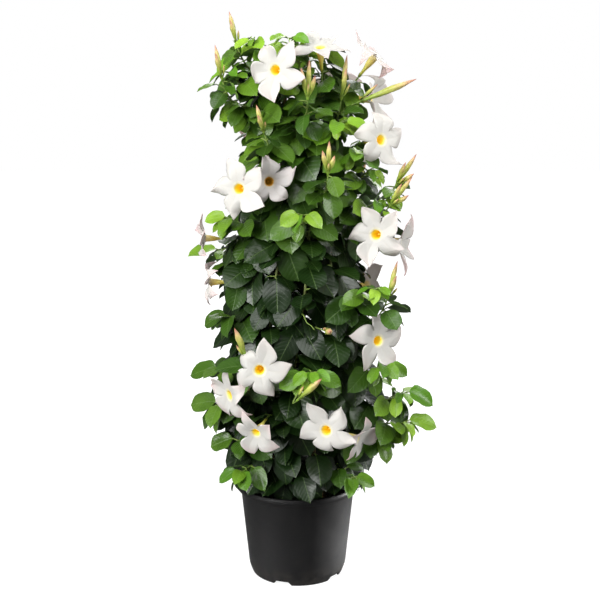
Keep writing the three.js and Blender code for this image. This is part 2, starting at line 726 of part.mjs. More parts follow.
// Where the tube of a bloom ends and its pedicel takes over.
function bloomFoot(bloom) {
  const direction = facing(bloom.right, bloom.above);
  const behind = TUBE_LENGTH * (bloom.size ?? 1) + GAP;
  return { tip: new THREE.Vector3(...bloom.at).addScaledVector(direction, -behind), direction };
}

// A bud: a thin tube, a spindle of furled lobes and a long point.
function budSolid(from, direction, length) {
  const profile = [
    [1.1, 0],
    [1.6, 0.38],
    [4.3, 0.7],
    [0, 1],
  ].map(([radius, share]) => new THREE.Vector2(radius, share * length));
  const closed = [new THREE.Vector2(0, 0), ...profile];
  const turn = new THREE.Quaternion().setFromUnitVectors(new THREE.Vector3(0, 1, 0), direction);
  return toSolid(
    new THREE.LatheGeometry(closed, 4).applyQuaternion(turn).translate(from.x, from.y, from.z),
  );
}

// A spray: a short stalk that widens to a hub, with its buds set round the top of the hub.
function spraySolid(spray, index) {
  const direction = facing(spray.right, spray.above);
  const turn = new THREE.Quaternion().setFromUnitVectors(UP, direction);
  const foot = new THREE.Vector3(...spray.at).addScaledVector(direction, GAP);
  const hubRadius = spray.buds > 1 ? 4.4 : 2.6;
  const hub = toSolid(
    new THREE.CylinderGeometry(hubRadius, 1.6, 8, 5)
      .rotateX(Math.PI / 2)
      .translate(0, 0, 4)
      .applyQuaternion(turn)
      .translate(foot.x, foot.y, foot.z),
  );
  const buds = Array.from({ length: spray.buds }, (_, i) => {
    const round = level(90 + 360 * (i / spray.buds)).multiplyScalar(spray.buds > 1 ? 1 : 0);
    const way = round.clone().multiplyScalar(0.28).add(UP).normalize().applyQuaternion(turn);
    const from = round.multiplyScalar(2.2).setZ(7).applyQuaternion(turn).add(foot);
    return budSolid(from, way, spray.length * (1 - 0.2 * i + 0.06 * draw(40 + index * 5 + i)));
  });
  return wasm.Manifold.union([hub, ...buds]);
}

// What the plant stands in and climbs on
addNode("pot", toGeometry(place(potSolid())), materials.pot);
addNode("soil", toGeometry(place(soilSolid())), materials.soil);
for (let i = 0; i < CANES; i++) {
  addNode(`cane_${i + 1}`, toGeometry(place(caneSolid(i))), materials.cane);
}
for (const [name, z] of Object.entries(HOOP_HEIGHTS)) {
  place(toSolid(addNode(name, hoopGeometry(z), materials.hoop).geometry));
}

// The climbing stems first, then what they carry, and the leaves into the room that is left.
const stems = Array.from({ length: VINES }, (_, vine) => growStem(vine));
stems.forEach((stem) => place(toSolid(rodGeometry(stem)), stem.vine));

for (const bloom of BLOOMS) {
  const mesh = bloomMesh(bloom);
  place(toSolid(mesh.geometry.clone().applyMatrix4(mesh.matrixWorld)));
}
SPRAYS.forEach((spray, i) => addNode(spray.name, toGeometry(place(spraySolid(spray, i))), materials.bud));

const pedicels = BLOOMS.map(bloomFoot).map(({ tip, direction }) => growBranch(stems, tip, direction, 2));
const peduncles = SPRAYS.map(({ at, right, above }) =>
  growBranch(stems, new THREE.Vector3(...at), facing(right, above), 2),
);
const shoots = SHOOTS.map(({ at, right, above, pairs }) =>
  growBranch(stems, new THREE.Vector3(...at), facing(right, above), pairs + 1),
);

SHOOTS.flatMap((shoot, i) => shootLeaves(shoot, i, shoots[i])).forEach(growLeaf);
stems.flatMap(stemLeaves).forEach(growLeaf);

const rods = [...stems, ...pedicels, ...peduncles, ...shoots];
for (const { vine } of stems) {
  const pieces = rods.filter((rod) => rod.vine === vine).map((rod) => toSolid(rodGeometry(rod)));
  const name = `vine_${String(vine + 1).padStart(2, "0")}`;
  addNode(name, toGeometry(wasm.Manifold.union(pieces)), materials.foliage);
}

export default plant;
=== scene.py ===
"""Potted mandevilla: the looks of the plant, in metres, +Z up, with its front to -Y."""

import math
import random
from functools import partialmethod

import bmesh
import bpy
from mathutils import Matrix, Vector
from mathutils.bvhtree import BVHTree


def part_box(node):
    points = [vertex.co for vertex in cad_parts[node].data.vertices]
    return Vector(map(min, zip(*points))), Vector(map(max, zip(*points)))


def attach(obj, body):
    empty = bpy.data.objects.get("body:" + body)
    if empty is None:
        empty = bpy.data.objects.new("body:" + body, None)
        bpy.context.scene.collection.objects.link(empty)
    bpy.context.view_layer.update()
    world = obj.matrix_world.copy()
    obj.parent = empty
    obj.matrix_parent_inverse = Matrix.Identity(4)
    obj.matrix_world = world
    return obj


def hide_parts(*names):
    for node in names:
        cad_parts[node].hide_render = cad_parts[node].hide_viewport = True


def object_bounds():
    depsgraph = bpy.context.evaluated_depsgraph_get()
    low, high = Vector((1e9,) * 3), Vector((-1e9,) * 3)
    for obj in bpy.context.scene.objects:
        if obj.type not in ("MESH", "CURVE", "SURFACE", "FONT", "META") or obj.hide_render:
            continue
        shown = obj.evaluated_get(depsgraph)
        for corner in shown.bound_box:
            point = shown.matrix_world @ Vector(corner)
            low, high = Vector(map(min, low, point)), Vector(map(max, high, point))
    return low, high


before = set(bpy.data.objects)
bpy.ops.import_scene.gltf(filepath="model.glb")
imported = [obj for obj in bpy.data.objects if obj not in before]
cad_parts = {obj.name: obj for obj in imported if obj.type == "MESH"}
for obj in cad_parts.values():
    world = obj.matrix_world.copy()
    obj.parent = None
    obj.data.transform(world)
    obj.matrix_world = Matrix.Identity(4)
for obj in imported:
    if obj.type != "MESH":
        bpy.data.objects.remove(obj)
cad_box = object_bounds()

# -------------------- Pot
# A nursery pot injection-moulded in black polypropylene: one thin tapered wall with a turned-out
# lip, and a raised floor with drain holes and a middle pad. The foot ring under the wall is notched
# in five places, so that water runs out on a flat bench.
MM = 0.001
UP = Vector((0, 0, 1))
POT_SIDES = 300
# The wall in section, from the middle of the underside round the lip and back: (radius, height).
POT_PROFILE = [
    (0, 0), (25, 0), (26, 0.3), (30.4, 6.6), (31.4, 7), (67, 7), (68, 6.2), (68.7, 0.5), (69.2, 0),
    (70.4, 0), (71.2, 0.5), (72.2, 3), (73.4, 6), (74.6, 9.4), (75.6, 12.6), (76.4, 17),
    (88.6, 136.6), (88.9, 138), (94.2, 138.3), (94.9, 139.2), (95, 146.8), (94.2, 147.9),
    (90.2, 148), (89.1, 147.4), (88.2, 144), (86.9, 134), (74.6, 20), (73.8, 15), (70.6, 10.2),
    (68, 9.1), (32.4, 9), (31, 8.3), (27, 2.4), (26, 2), (0, 2),
]
POT_CREASE = 40
FOOT_POINTS = range(7, 13)
FOOT_TOP = 6.6
FOOT_RADIUS = 71
NOTCHES = 5
NOTCH_FIRST = -109
NOTCH_FLOOR = 29
NOTCH_TOP = 19
DRAINS = 6
DRAIN_SIDES = 28
DRAIN_RADIUS = 5
DRAIN_CIRCLE = 50
DRAIN_MIDDLE = 8
DRAIN_DEPTH = 8


def clamp(x):
    return min(1, max(0, x))


def polar(azimuth, radius, z):
    """A point at an azimuth in degrees, counter-clockwise from +X seen from above."""
    angle = math.radians(azimuth)
    return Vector((radius * math.cos(angle), radius * math.sin(angle), z))


def new_object(name, data):
    made = bpy.data.objects.new(name, data)
    bpy.context.scene.collection.objects.link(made)
    return made


def settle(piece):
    """Turns what a piece's modifiers make of it into its plain mesh."""
    graph = bpy.context.evaluated_depsgraph_get()
    made = piece.evaluated_get(graph)
    mesh = bpy.data.meshes.new_from_object(made, preserve_all_data_layers=True, depsgraph=graph)
    piece.modifiers.clear()
    piece.data = mesh


class Wire:
    """An output of a node. Reckoning with it adds the nodes that do so to its tree."""

    def __init__(self, socket):
        self.socket = socket

    def calc(self, operation, *others):
        kind = "ShaderNodeVectorMath" if self.socket.type == "VECTOR" else "ShaderNodeMath"
        return add_node(kind, dict(enumerate((self, *others))), operation=operation)

    __add__ = partialmethod(calc, "ADD")
    __sub__ = partialmethod(calc, "SUBTRACT")
    __mul__ = partialmethod(calc, "MULTIPLY")
    __truediv__ = partialmethod(calc, "DIVIDE")

    def split(self):
        """The x, y and z of a vector."""
        return wires_of(add_node("ShaderNodeSeparateXYZ", {0: self})).values()


def wires_of(wire):
    """All the wires out of a wire's node, by name."""
    return {socket.name: Wire(socket) for socket in wire.socket.node.outputs}


def feed(node, sockets):
    """Fills a node's inputs: a wire is linked, and anything else becomes the socket's value."""
    for key, value in sockets.items():
        socket = node.inputs[key]
        if isinstance(value, Wire):
            socket.id_data.links.new(value.socket, socket)
        else:
            socket.default_value = (*value, 1) if socket.type == "RGBA" else value


def add_node(kind, feeds=None, tree=None, output=None, **options):
    """A new node's named output, or its first. It goes into the tree that its wires come from."""
    feeds = feeds or {}
    tree = tree or next(v.socket.id_data for v in feeds.values() if isinstance(v, Wire))
    made = tree.nodes.new(kind)
    for option, value in options.items():
        setattr(made, option, value)
    feed(made, feeds)
    return Wire(made.outputs[output] if output else next(s for s in made.outputs if s.enabled))


def new_group(name, kind, inputs, outputs):
    """A tree, the wires of its inputs and its last node. Sockets are (name, type) pairs."""
    tree = bpy.data.node_groups.new(name, kind)
    for in_out, sockets in (("INPUT", inputs), ("OUTPUT", outputs)):
        for label, value in sockets:
            tree.interface.new_socket(label, in_out=in_out, socket_type=f"NodeSocket{value}")
    start = tree.nodes.new("NodeGroupInput").outputs
    return tree, [Wire(socket) for socket in start[:-1]], tree.nodes.new("NodeGroupOutput")


def new_grower(name, **inputs):
    """A geometry tree that changes a piece's mesh, with its own inputs: name=type."""
    geometry = [("Geometry", "Geometry")]
    sockets = geometry + [(label.replace("_", " "), value) for label, value in inputs.items()]
    return new_group(name, "GeometryNodeTree", sockets, geometry)


def use_group(group, *values):
    """The wires out of a shader group, placed with values for its inputs in their order."""
    return wires_of(add_node("ShaderNodeGroup", dict(enumerate(values)), node_tree=group))


def new_finish(name, **sockets):
    """A material, its tree and its shader, with what is even all over set on the shader."""
    finish = bpy.data.materials.new(name)
    finish.use_nodes = True
    shader = finish.node_tree.nodes["Principled BSDF"]
    feed(shader, {label.replace("_", " "): value for label, value in sockets.items()})
    return finish, finish.node_tree, shader


def mix_colours(share, one, other, mode="MIX"):
    feeds = {0: share, 6: one, 7: other}
    return add_node("ShaderNodeMix", feeds, data_type="RGBA", blend_type=mode)


def between(value, low, high, to_low=0.0, to_high=1.0):
    """A value that is to_low where the wire is at low, and to_high where it is at high."""
    ends = {"From Min": low, "From Max": high, "To Min": to_low, "To Max": to_high}
    return add_node("ShaderNodeMapRange", {"Value": value, **ends})


def add_noise(point, scale, detail):
    return add_node("ShaderNodeTexNoise", {"Vector": point, "Scale": scale, "Detail": detail})


def bumpy(height, strength, distance):
    feeds = {"Height": height, "Strength": strength, "Distance": distance}
    return add_node("ShaderNodeBump", feeds)


def object_point(tree):
    return add_node("ShaderNodeTexCoord", tree=tree, output="Object")


# Uneven colour and a matching height, from soft cloudy noise.
mottle, (point, scale, detail, contrast, dark, light), end = new_group(
    "mottle",
    "ShaderNodeTree",
    [
        ("Vector", "Vector"), ("Scale", "Float"), ("Detail", "Float"), ("Contrast", "Float"),
        ("Dark", "Color"), ("Light", "Color"),
    ],
    [("Color", "Color"), ("Height", "Float")],
)
cloud = add_noise(point, scale, detail)
height = add_node("ShaderNodeClamp", {0: (cloud - 0.5) * contrast + 0.5})
feed(end, {"Color": mix_colours(height, dark, light), "Height": height})

moulded, tree, shader = new_finish("black_polypropylene", Specular_IOR_Level=0.15)
point = object_point(tree)
blacks = (0.0028, 0.0028, 0.003), (0.0045, 0.0045, 0.0047)
handled = use_group(mottle, point, 14.0, 5.0, 2.6, *blacks)
dusty = use_group(mottle, point, 70.0, 6.0, 3.5, (0, 0, 0), (1, 1, 1))
_, _, height_up = point.split()
dust = (between(height_up, 0.03, 0.0) * 0.1 + 0.012) * dusty["Height"]
feed(shader, {
    "Base Color": mix_colours(dust, handled["Color"], (0.16, 0.14, 0.12)),
    "Roughness": handled["Height"] * 0.12 + 0.42,
    "Normal": bumpy(add_noise(point, 1400.0, 2.0), 0.22, 0.0002),
})


def add_strip(shell, low, high, flip=False):
    """Smooth faces between two lines of points, either of which may be a single point."""
    made = []
    for i in range(max(len(low), len(high)) - 1):
        (a, b), (d, c) = ([line[min(k, len(line) - 1)] for k in (i, i + 1)] for line in (low, high))
        corners = [a, d, c, b] if flip else [a, b, c, d]
        made.append(shell.faces.new(list(dict.fromkeys(corners))))
        made[-1].smooth = True
    return made


def add_skin(shell, loops):
    """A closed skin through loops of points, each of which may be a single point."""
    made = []
    for low, high in zip(loops, loops[1:]):
        made += add_strip(shell, low + low[:1], high + high[:1])
    for loop in (loops[0][::-1], loops[-1]):
        if len(loop) > 1:
            made.append(shell.faces.new(loop))
            made[-1].smooth = True
    return made


def mesh_of(shell, name):
    mesh = bpy.data.meshes.new(name)
    shell.to_mesh(mesh)
    shell.free()
    return mesh


def turned_mesh(name, sides, rings, ring):
    """A closed skin through rings: ring(index, azimuth) is the radius and height of a point."""
    shell = bmesh.new()
    loops = []
    for index in range(rings):
        count = sides if ring(index, 0)[0] else 1
        azimuths = [360 * i / sides for i in range(count)]
        loops.append([shell.verts.new(polar(a, *ring(index, a)) * MM) for a in azimuths])
    add_skin(shell, loops)
    bmesh.ops.recalc_face_normals(shell, faces=shell.faces)
    return mesh_of(shell, name)


def pot_ring(index, azimuth):
    """A point of the wall, raised where the foot ring is notched."""
    radius, z = POT_PROFILE[index]
    step = 360 / NOTCHES
    off = (azimuth - NOTCH_FIRST + step / 2) % step - step / 2
    away = abs(math.radians(off)) * FOOT_RADIUS
    notch = FOOT_TOP * clamp((NOTCH_FLOOR / 2 - away) / ((NOTCH_FLOOR - NOTCH_TOP) / 2))
    return radius, max(z, notch if index in FOOT_POINTS else 0)


pot = new_object("pot_shell", turned_mesh("pot", POT_SIDES, len(POT_PROFILE), pot_ring))
pot.data.materials.append(moulded)
punch = bmesh.new()
for i in range(DRAINS):
    middle = polar(360 * i / DRAINS, DRAIN_CIRCLE, DRAIN_MIDDLE) * MM
    bmesh.ops.create_cone(
        punch, cap_ends=True, segments=DRAIN_SIDES, radius1=DRAIN_RADIUS * MM,
        radius2=DRAIN_RADIUS * MM, depth=DRAIN_DEPTH * MM, matrix=Matrix.Translation(middle),
    )
drain_punch = new_object("drain_punch", mesh_of(punch, "drain_punch"))
cut = pot.modifiers.new("drains", "BOOLEAN")
cut.object = drain_punch
cut.operation = "DIFFERENCE"
cut.solver = "EXACT"
settle(pot)
pot.data.set_sharp_from_angle(angle=math.radians(POT_CREASE))
bpy.data.objects.remove(drain_punch)
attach(pot, "root")
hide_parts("pot")

# -------------------- Soil
# The root ball: dark peat-based potting mix that fills the pot to a finger's width below the lip,
# with a crumbled top of peat fibre, bits of bark and a few white perlite grains.
SOIL_LEVEL = 130.4
SOIL_RADIUS = 85.2
SOIL_SIDES = 120
SOIL_RINGS = 30
SOIL_PROFILE = [(0, 9.6), (66, 9.6), (72, 16), (84.4, 124)]
# How far the top sinks at its edge, over the last tenth of the radius.
EDGE_SINK = 2.5
EDGE_SHARE = 0.1
CRUMBS = 900
CRUMB_SIZES = (0.0011, 0.0034)


def marked(tree, name, output="Fac"):
    """The wire of an attribute, in a material."""
    return add_node("ShaderNodeAttribute", tree=tree, output=output, attribute_name=name)


peat, tree, shader = new_finish("peat_potting_mix", Roughness=0.95, Specular_IOR_Level=0.2)
browns = (0.006, 0.004, 0.003), (0.045, 0.028, 0.018)
clods = use_group(mottle, object_point(tree), 180.0, 8.0, 3.0, *browns)
tint = marked(tree, "tint")
bark = mix_colours(tint * 0.5, clods["Color"], (0.09, 0.05, 0.028))
perlite = mix_colours(between(tint, 0.93, 0.95), bark, (0.62, 0.6, 0.56))
feed(shader, {"Base Color": perlite, "Normal": bumpy(clods["Height"], 0.8, 0.0012)})


def soil_height(x, y):
    ripple = math.sin(x / 9.1 + 1.3) * math.cos(y / 7.7) + 0.6 * math.sin((x + y) / 4.3 + 0.7)
    return SOIL_LEVEL + 0.8 * ripple + 0.5 * math.sin(x / 2.1) * math.sin(y / 2.4 + x / 5)


def soil_ring(index, azimuth):
    if index < len(SOIL_PROFILE):
        return SOIL_PROFILE[index]
    radius = SOIL_RADIUS * (1 - (index - len(SOIL_PROFILE)) / SOIL_RINGS)
    x, y, _ = polar(azimuth, radius, 0)
    sink = EDGE_SINK * max(0, radius / SOIL_RADIUS - 1 + EDGE_SHARE) / EDGE_SHARE
    return radius, soil_height(x, y) - sink


rings = len(SOIL_PROFILE) + SOIL_RINGS + 1
soil = new_object("potting_mix", turned_mesh("potting_mix", SOIL_SIDES, rings, soil_ring))


def join(one, other):
    joined = add_node("GeometryNodeJoinGeometry", {0: one})
    feed(joined.socket.node, {0: other})  # The same socket again, since it takes any number.
    return joined


def finished(geometry, finish):
    return add_node("GeometryNodeSetMaterial", {"Geometry": geometry, "Material": finish})


def above(value, limit):
    options = {"data_type": "FLOAT", "operation": "GREATER_THAN"}
    return add_node("FunctionNodeCompare", {0: value, 1: limit}, **options)


def random_value(feeds, tree=None, data_type="FLOAT"):
    return add_node("FunctionNodeRandomValue", feeds, tree, data_type=data_type)


# Scatters crumbs over what faces up, and joins them to the bed.
scatter, (bed, density, smallest, largest, seed, finish), end = new_grower(
    "crumbled_top", Density="Float", Smallest="Float", Largest="Float", Seed="Int",
    Finish="Material",
)
_, _, up = add_node("GeometryNodeInputNormal", tree=scatter).split()
spots = add_node(
    "GeometryNodeDistributePointsOnFaces",
    {"Mesh": bed, "Selection": above(up, 0.6), "Density": density, "Seed": seed},
)
crumb = add_node("GeometryNodeMeshIcoSphere", {"Radius": 1.0, "Subdivisions": 1}, scatter)
turn = random_value({"Max": (6.3, 6.3, 6.3), "Seed": seed}, data_type="FLOAT_VECTOR")
size = random_value({2: smallest, 3: largest, "Seed": seed + 1.0})
squash = add_node("ShaderNodeCombineXYZ", {0: size, 1: size * 0.7, 2: size * 0.5})
crumbs = add_node(
    "GeometryNodeInstanceOnPoints",
    {"Points": spots, "Instance": crumb, "Rotation": turn, "Scale": squash},
)
shade = random_value({2: 0.0, 3: 1.0, "Seed": 7}, scatter)
tinted = add_node(
    "GeometryNodeStoreNamedAttribute", {"Geometry": crumbs, "Name": "tint", "Value": shade},
    data_type="FLOAT", domain="INSTANCE",
)
real = add_node("GeometryNodeRealizeInstances", {0: join(bed, tinted)})
feed(end, {0: finished(real, finish)})


def grow(piece, tree, **values):
    """Runs a tree on a piece with its named inputs, and keeps the result as the piece's mesh."""
    modifier = piece.modifiers.new(tree.name, "NODES")
    modifier.node_group = tree
    for item in tree.interface.items_tree:
        label = item.name.replace(" ", "_")
        if item.in_out == "INPUT" and label in values:
            modifier[item.identifier] = values[label]
    settle(piece)


area = math.pi * (SOIL_RADIUS * MM) ** 2
low, high = CRUMB_SIZES
grow(soil, scatter, Density=CRUMBS / area, Smallest=low, Largest=high, Seed=4, Finish=peat)
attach(soil, "root")
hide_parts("soil")

# -------------------- Tower
# Four bamboo canes pushed into the soil and drawn together towards the top. Each is a natural culm
# with a raised knuckle every hand's width, cut off square.
CANES = 4
CANE_SIDES = 20
CANE_FIRST = 45
CANE_RADIUS = 3.5
CANE_SLACK = 0.35
CANE_TAPER = 0.5
# The distance from the middle and the height of a cane's ends.
CANE_ENDS = ((64, 24), (22, 800))
CANE_STEP = 4
CANE_CREASE = 60
# Knuckles: how far apart on the first cane and how much nearer on each next one, where the first
# one is and how much lower on each next cane, how far they rise and half their length.
KNUCKLE_EVERY = (118, 6)
KNUCKLE_FIRST = (20, 31)
KNUCKLE_RISE = 0.75
KNUCKLE_HALF_LENGTH = 2.6


def named(tree, name, data_type="FLOAT"):
    """The wire of an attribute, in a geometry tree."""
    feeds = {"Name": name}
    return add_node("GeometryNodeInputNamedAttribute", feeds, tree, data_type=data_type)


def add_rods(geometry, sides):
    """A round rod along each chain of edges, as thick as the attribute "thick" says."""
    lines = add_node("GeometryNodeMeshToCurve", {"Mesh": geometry})
    circle = add_node("GeometryNodeCurvePrimitiveCircle", {"Resolution": sides, "Radius": 1.0})
    thick = named(geometry.socket.id_data, "thick")
    feeds = {"Curve": lines, "Profile Curve": circle, "Scale": thick, "Fill Caps": True}
    return add_node("GeometryNodeCurveToMesh", feeds)


rod_tree, (chains, sides, finish), end = new_grower("round_rods", Sides="Int", Finish="Material")
rods = add_node("GeometryNodeSetShadeSmooth", {0: add_rods(chains, sides)})
real = add_node("GeometryNodeRealizeInstances", {0: rods})
feed(end, {0: finished(real, finish)})


def along_grain(tree, across, along):
    """The object's point, scaled so that a pattern runs along what grows upwards."""
    scale = (across, across, along)
    return add_node("ShaderNodeMapping", {"Vector": object_point(tree), "Scale": scale})


culm, tree, shader = new_finish("dried_bamboo", Specular_IOR_Level=0.45)
straw = (0.2, 0.12, 0.045), (0.46, 0.31, 0.13)
streaks = use_group(mottle, along_grain(tree, 9.0, 0.5), 60.0, 5.0, 2.2, *straw)
colour = mix_colours(marked(tree, "knuckle") * 0.7, streaks["Color"], (0.09, 0.055, 0.025))
feed(shader, {
    "Base Color": colour, "Roughness": streaks["Height"] * 0.25 + 0.38,
    "Normal": bumpy(streaks["Height"], 0.3, 0.0003),
})


def chain_mesh(name, chains):
    """Edges through each chain of points. A chain is a list of (point, {attribute: value})."""
    points, edges, values = [], [], {}
    for chain in chains:
        edges += [(len(points) + i, len(points) + i + 1) for i in range(len(chain) - 1)]
        for point, marks in chain:
            for key, value in marks.items():
                values.setdefault(key, {})[len(points)] = value
            points.append(point)
    mesh = bpy.data.meshes.new(name)
    mesh.from_pydata(points, edges, [])
    for key, marks in values.items():
        kind, slot, blank = "FLOAT", "value", 0.0
        if isinstance(next(iter(marks.values())), Vector):
            kind, slot, blank = "FLOAT_VECTOR", "vector", Vector()
        data = mesh.attributes.new(key, kind, "POINT").data
        for i in range(len(points)):
            setattr(data[i], slot, marks.get(i, blank))
    return mesh


for n in range(CANES):
    foot, top = (polar(CANE_FIRST + n * 360 / CANES, out, z) * MM for out, z in CANE_ENDS)
    steps = round((top - foot).length / (CANE_STEP * MM))
    every = KNUCKLE_EVERY[0] - KNUCKLE_EVERY[1] * n
    chain = []
    for i in range(steps + 1):
        off = (i * CANE_STEP + KNUCKLE_FIRST[1] * n) % every - KNUCKLE_FIRST[0]
        bulge = math.exp(-((off / KNUCKLE_HALF_LENGTH) ** 2))
        thick = CANE_RADIUS - CANE_SLACK - CANE_TAPER * i / steps + KNUCKLE_RISE * bulge
        chain.append((foot.lerp(top, i / steps), {"thick": thick * MM, "knuckle": bulge}))
    cane = new_object(f"bamboo_cane_{n + 1}", chain_mesh("bamboo_cane", [chain]))
    grow(cane, rod_tree, Sides=CANE_SIDES, Finish=culm)
    cane.data.set_sharp_from_angle(angle=math.radians(CANE_CREASE))
    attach(cane, "root")
    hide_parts(f"cane_{n + 1}")

# -------------------- Hoops
# Two hoops of green plastic-coated wire hold the canes apart and together. Each is bent from one
# length of wire, with its ends lapped beside each other.
HOOPS = {"hoop_middle": 500, "hoop_top": 770}
HOOP_SIDES = 12
HOOP_FIRST = 96
HOOP_STEPS = 96
HOOP_CLEARANCE = 0.3
WIRE_RADIUS = 1.3
# Over how many steps the wire rises to lap its other end, and how far it runs past it.
LAP_RISE = 8
LAP_LENGTH = 4


def on_line(points, x):
    """The value at x on a line through (x, value) points."""
    for (x0, y0), (x1, y1) in zip(points, points[1:]):
        if x < x1:
            break
    return y0 + (y1 - y0) * clamp((x - x0) / (x1 - x0))


coated, tree, shader = new_finish("green_coated_wire", Coat_Weight=0.3, Coat_Roughness=0.2)
greens = (0.018, 0.045, 0.016), (0.03, 0.075, 0.028)
worn = use_group(mottle, object_point(tree), 300.0, 4.0, 2.5, *greens)
feed(shader, {
    "Base Color": worn["Color"], "Roughness": worn["Height"] * 0.2 + 0.35,
    "Normal": bumpy(worn["Height"], 0.2, 0.0001),
})

for name, z in HOOPS.items():
    spread = on_line([(height, out) for out, height in CANE_ENDS], z)
    radius = spread + CANE_RADIUS + WIRE_RADIUS + HOOP_CLEARANCE
    chain = []
    for i in range(HOOP_STEPS + LAP_LENGTH + 1):
        lap = 2 * WIRE_RADIUS * clamp((i - HOOP_STEPS + LAP_RISE) / LAP_RISE)
        at = polar(HOOP_FIRST + 360 * i / HOOP_STEPS, radius, z + lap)
        chain.append((at * MM, {"thick": WIRE_RADIUS * MM}))
    hoop = new_object(f"wire_{name}", chain_mesh("wire_hoop", [chain]))
    grow(hoop, rod_tree, Sides=HOOP_SIDES, Finish=coated)
    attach(hoop, "root")
    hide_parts(name)

# -------------------- Climbing stems
# Ten stems rise from the soil, spread to the outside of the canes and wind round them. They are
# woody and brown below and green above. Each is one living piece with its side branches, flower
# stalks, petioles and leaves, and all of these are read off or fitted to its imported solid.
VINES = 10
STEM_DISTANCE = [(141, 36), (200, 70), (330, 80), (450, 74), (600, 58), (720, 44), (806, 34)]
STEM_FOOT = 89
STEM_TOPS = (806, 736)
TOP_SPREAD = 14
SWAY = 2.5
STEM_SIDES = 8
STEM_STEP = 5
TWIST_FROM = 200
TWIST_PER_MM = 0.1
INTERNODE = 46
BRANCH_RADIUS = 1.25
BRANCH_REACH = 200
BRANCH_LOWEST = 130
BRANCH_STEPS = 14
PETIOLE_LENGTH = 12
PETIOLE_RISE = 30
LEAF_THICKNESS = 0.8
LEAF_WIDTH_SHARE = 0.72
LEAF_ARCH = 0.2
LEAF_FOLD = 0.22
LEAF_RIB_AT = 0.42
BLADE_THICKNESS = 0.0005
# How near its shoot's tip a young leaf grows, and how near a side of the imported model's box a
# leaf's tip has to be for the leaf to keep its full length, so that the box stays as it is.
YOUNG_WITHIN = 30
OUTERMOST = 12

# Blooms: the middle of the mouth, the way it faces (degrees right of the front and above the
# horizon), its turn about that axis, its size, and how far the lobes lean forward.
BLOOMS = [
    ((-31, -92, 781), -26, 4, 20, 1, 0.16), ((32, -60, 812), -10, 66, 54, 0.92, 0.16),
    ((112, -26, 800), 84, 52, 18, 0.92, 0.16), ((108, 0, 738), 70, 2, 10, 1, 0.55),
    ((119, -72, 683), 34, 10, 40, 1, 0.16), ((-82, -112, 618), -20, 3, 10, 1, 0.16),
    ((-40, -92, 626), 8, 6, 24, 0.86, 0.5), ((-136, -36, 536), -84, 3, 0, 0.75, 0.35),
    ((-130, -46, 472), -90, 0, 18, 0.8, 0.16), ((112, -92, 550), -22, 4, 12, 1, 0.16),
    ((152, -28, 528), 76, -6, 50, 1, 0.45), ((118, -84, 392), 28, 4, 36, 1, 0.16),
    ((-54, -136, 362), -4, 6, -8, 1, 0.16), ((-99, -112, 318), -58, -8, 30, 1, 0.16),
    ((-60, -134, 268), -26, -20, 0, 0.85, 0.4), ((41, -142, 274), -24, 4, 20, 1, 0.16),
    ((88, -110, 250), 66, -14, 0, 0.85, 0.45), ((58, 104, 748), 150, 24, 15, 1, 0.16),
    ((-52, 104, 690), -156, 10, 45, 1, 0.16), ((20, 124, 560), 172, 4, 5, 1, 0.16),
    ((112, 88, 440), 128, 0, 28, 1, 0.16), ((-96, 98, 380), -136, -4, 12, 1, 0.16),
    ((24, 142, 300), 176, -6, 33, 1, 0.16),
]
TUBE_LENGTH = 42
GAP = 0.3

# Bud sprays: where the stalk ends, the way the buds point, how many and how long.
SPRAYS = [
    ((-86, -20, 812), -60, 74, 2, 42), ((-106, -56, 764), -60, 76, 2, 44),
    ((14, -92, 738), 30, 84, 3, 50), ((62, -52, 736), 40, 78, 2, 56),
    ((84, -46, 733), 74, 22, 1, 84), ((-46, -92, 692), -40, 66, 2, 34),
    ((43, -96, 634), 10, 78, 3, 40), ((142, -40, 612), 52, 50, 3, 50),
    ((130, -80, 452), 40, 68, 2, 52), ((-72, -122, 374), -50, 66, 1, 46),
    ((-60, 96, 780), -160, 66, 3, 48), ((92, 96, 590), 140, 60, 2, 46),
    ((132, -56, 584), 62, 48, 3, 46),
]
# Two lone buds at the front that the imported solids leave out, and where a bare tip twines: its bend
# and its end.
LONE_BUDS = [((-2, -147, 319), 66, 44, 1, 46), ((41, -118, 415), 8, 12, 1, 30)]
TWINING_TIP = ((2, -122, 440), (24, -120, 417))
TWINING_WAVE = 1.6
BUD_ROOM = 4

# Leafy side shoots: where the tip ends, the way it points, how many pairs of leaves it has and
# how young and bright they are.
SHOOTS = [
    ((-60, -24, 820), -30, 50, 2, 0.9), ((-96, -40, 776), -56, 50, 2, 0.9),
    ((-72, -52, 728), -70, 20, 2, 0.2), ((-12, -40, 824), -16, 60, 2, 0.9),
    ((60, -74, 706), 36, 30, 2, 0.7), ((84, -66, 664), 40, 20, 2, 0.6),
    ((104, -36, 636), 54, 40, 3, 0.8), ((118, -40, 590), 60, 24, 3, 0.8),
    ((8, -104, 580), 0, 40, 2, 0.6), ((-96, -56, 566), -60, 20, 2, 0.6),
    ((112, -92, 470), 44, 40, 3, 0.9), ((-98, -52, 420), -60, 10, 2, 0.2),
    ((20, -130, 356), 5, 30, 3, 0.9), ((126, -84, 354), 44, 30, 2, 0.7),
    ((156, -64, 306), 58, 34, 3, 0.9), ((158, -70, 262), 58, 8, 3, 0.8),
    ((118, -64, 236), 52, 0, 2, 0.4), ((-112, -58, 340), -60, 24, 2, 0.3),
    ((-114, -58, 286), -60, 8, 2, 0.2), ((-88, -66, 232), -46, 0, 2, 0.3),
    ((-82, -84, 190), -44, -20, 1, 0.6), ((78, -92, 182), 40, -20, 1, 0.7),
    ((-118, 60, 500), -118, 30, 2, 0.7), ((112, 60, 290), 118, 20, 2, 0.6),
    ((-20, 122, 450), -176, 30, 2, 0.8),
]


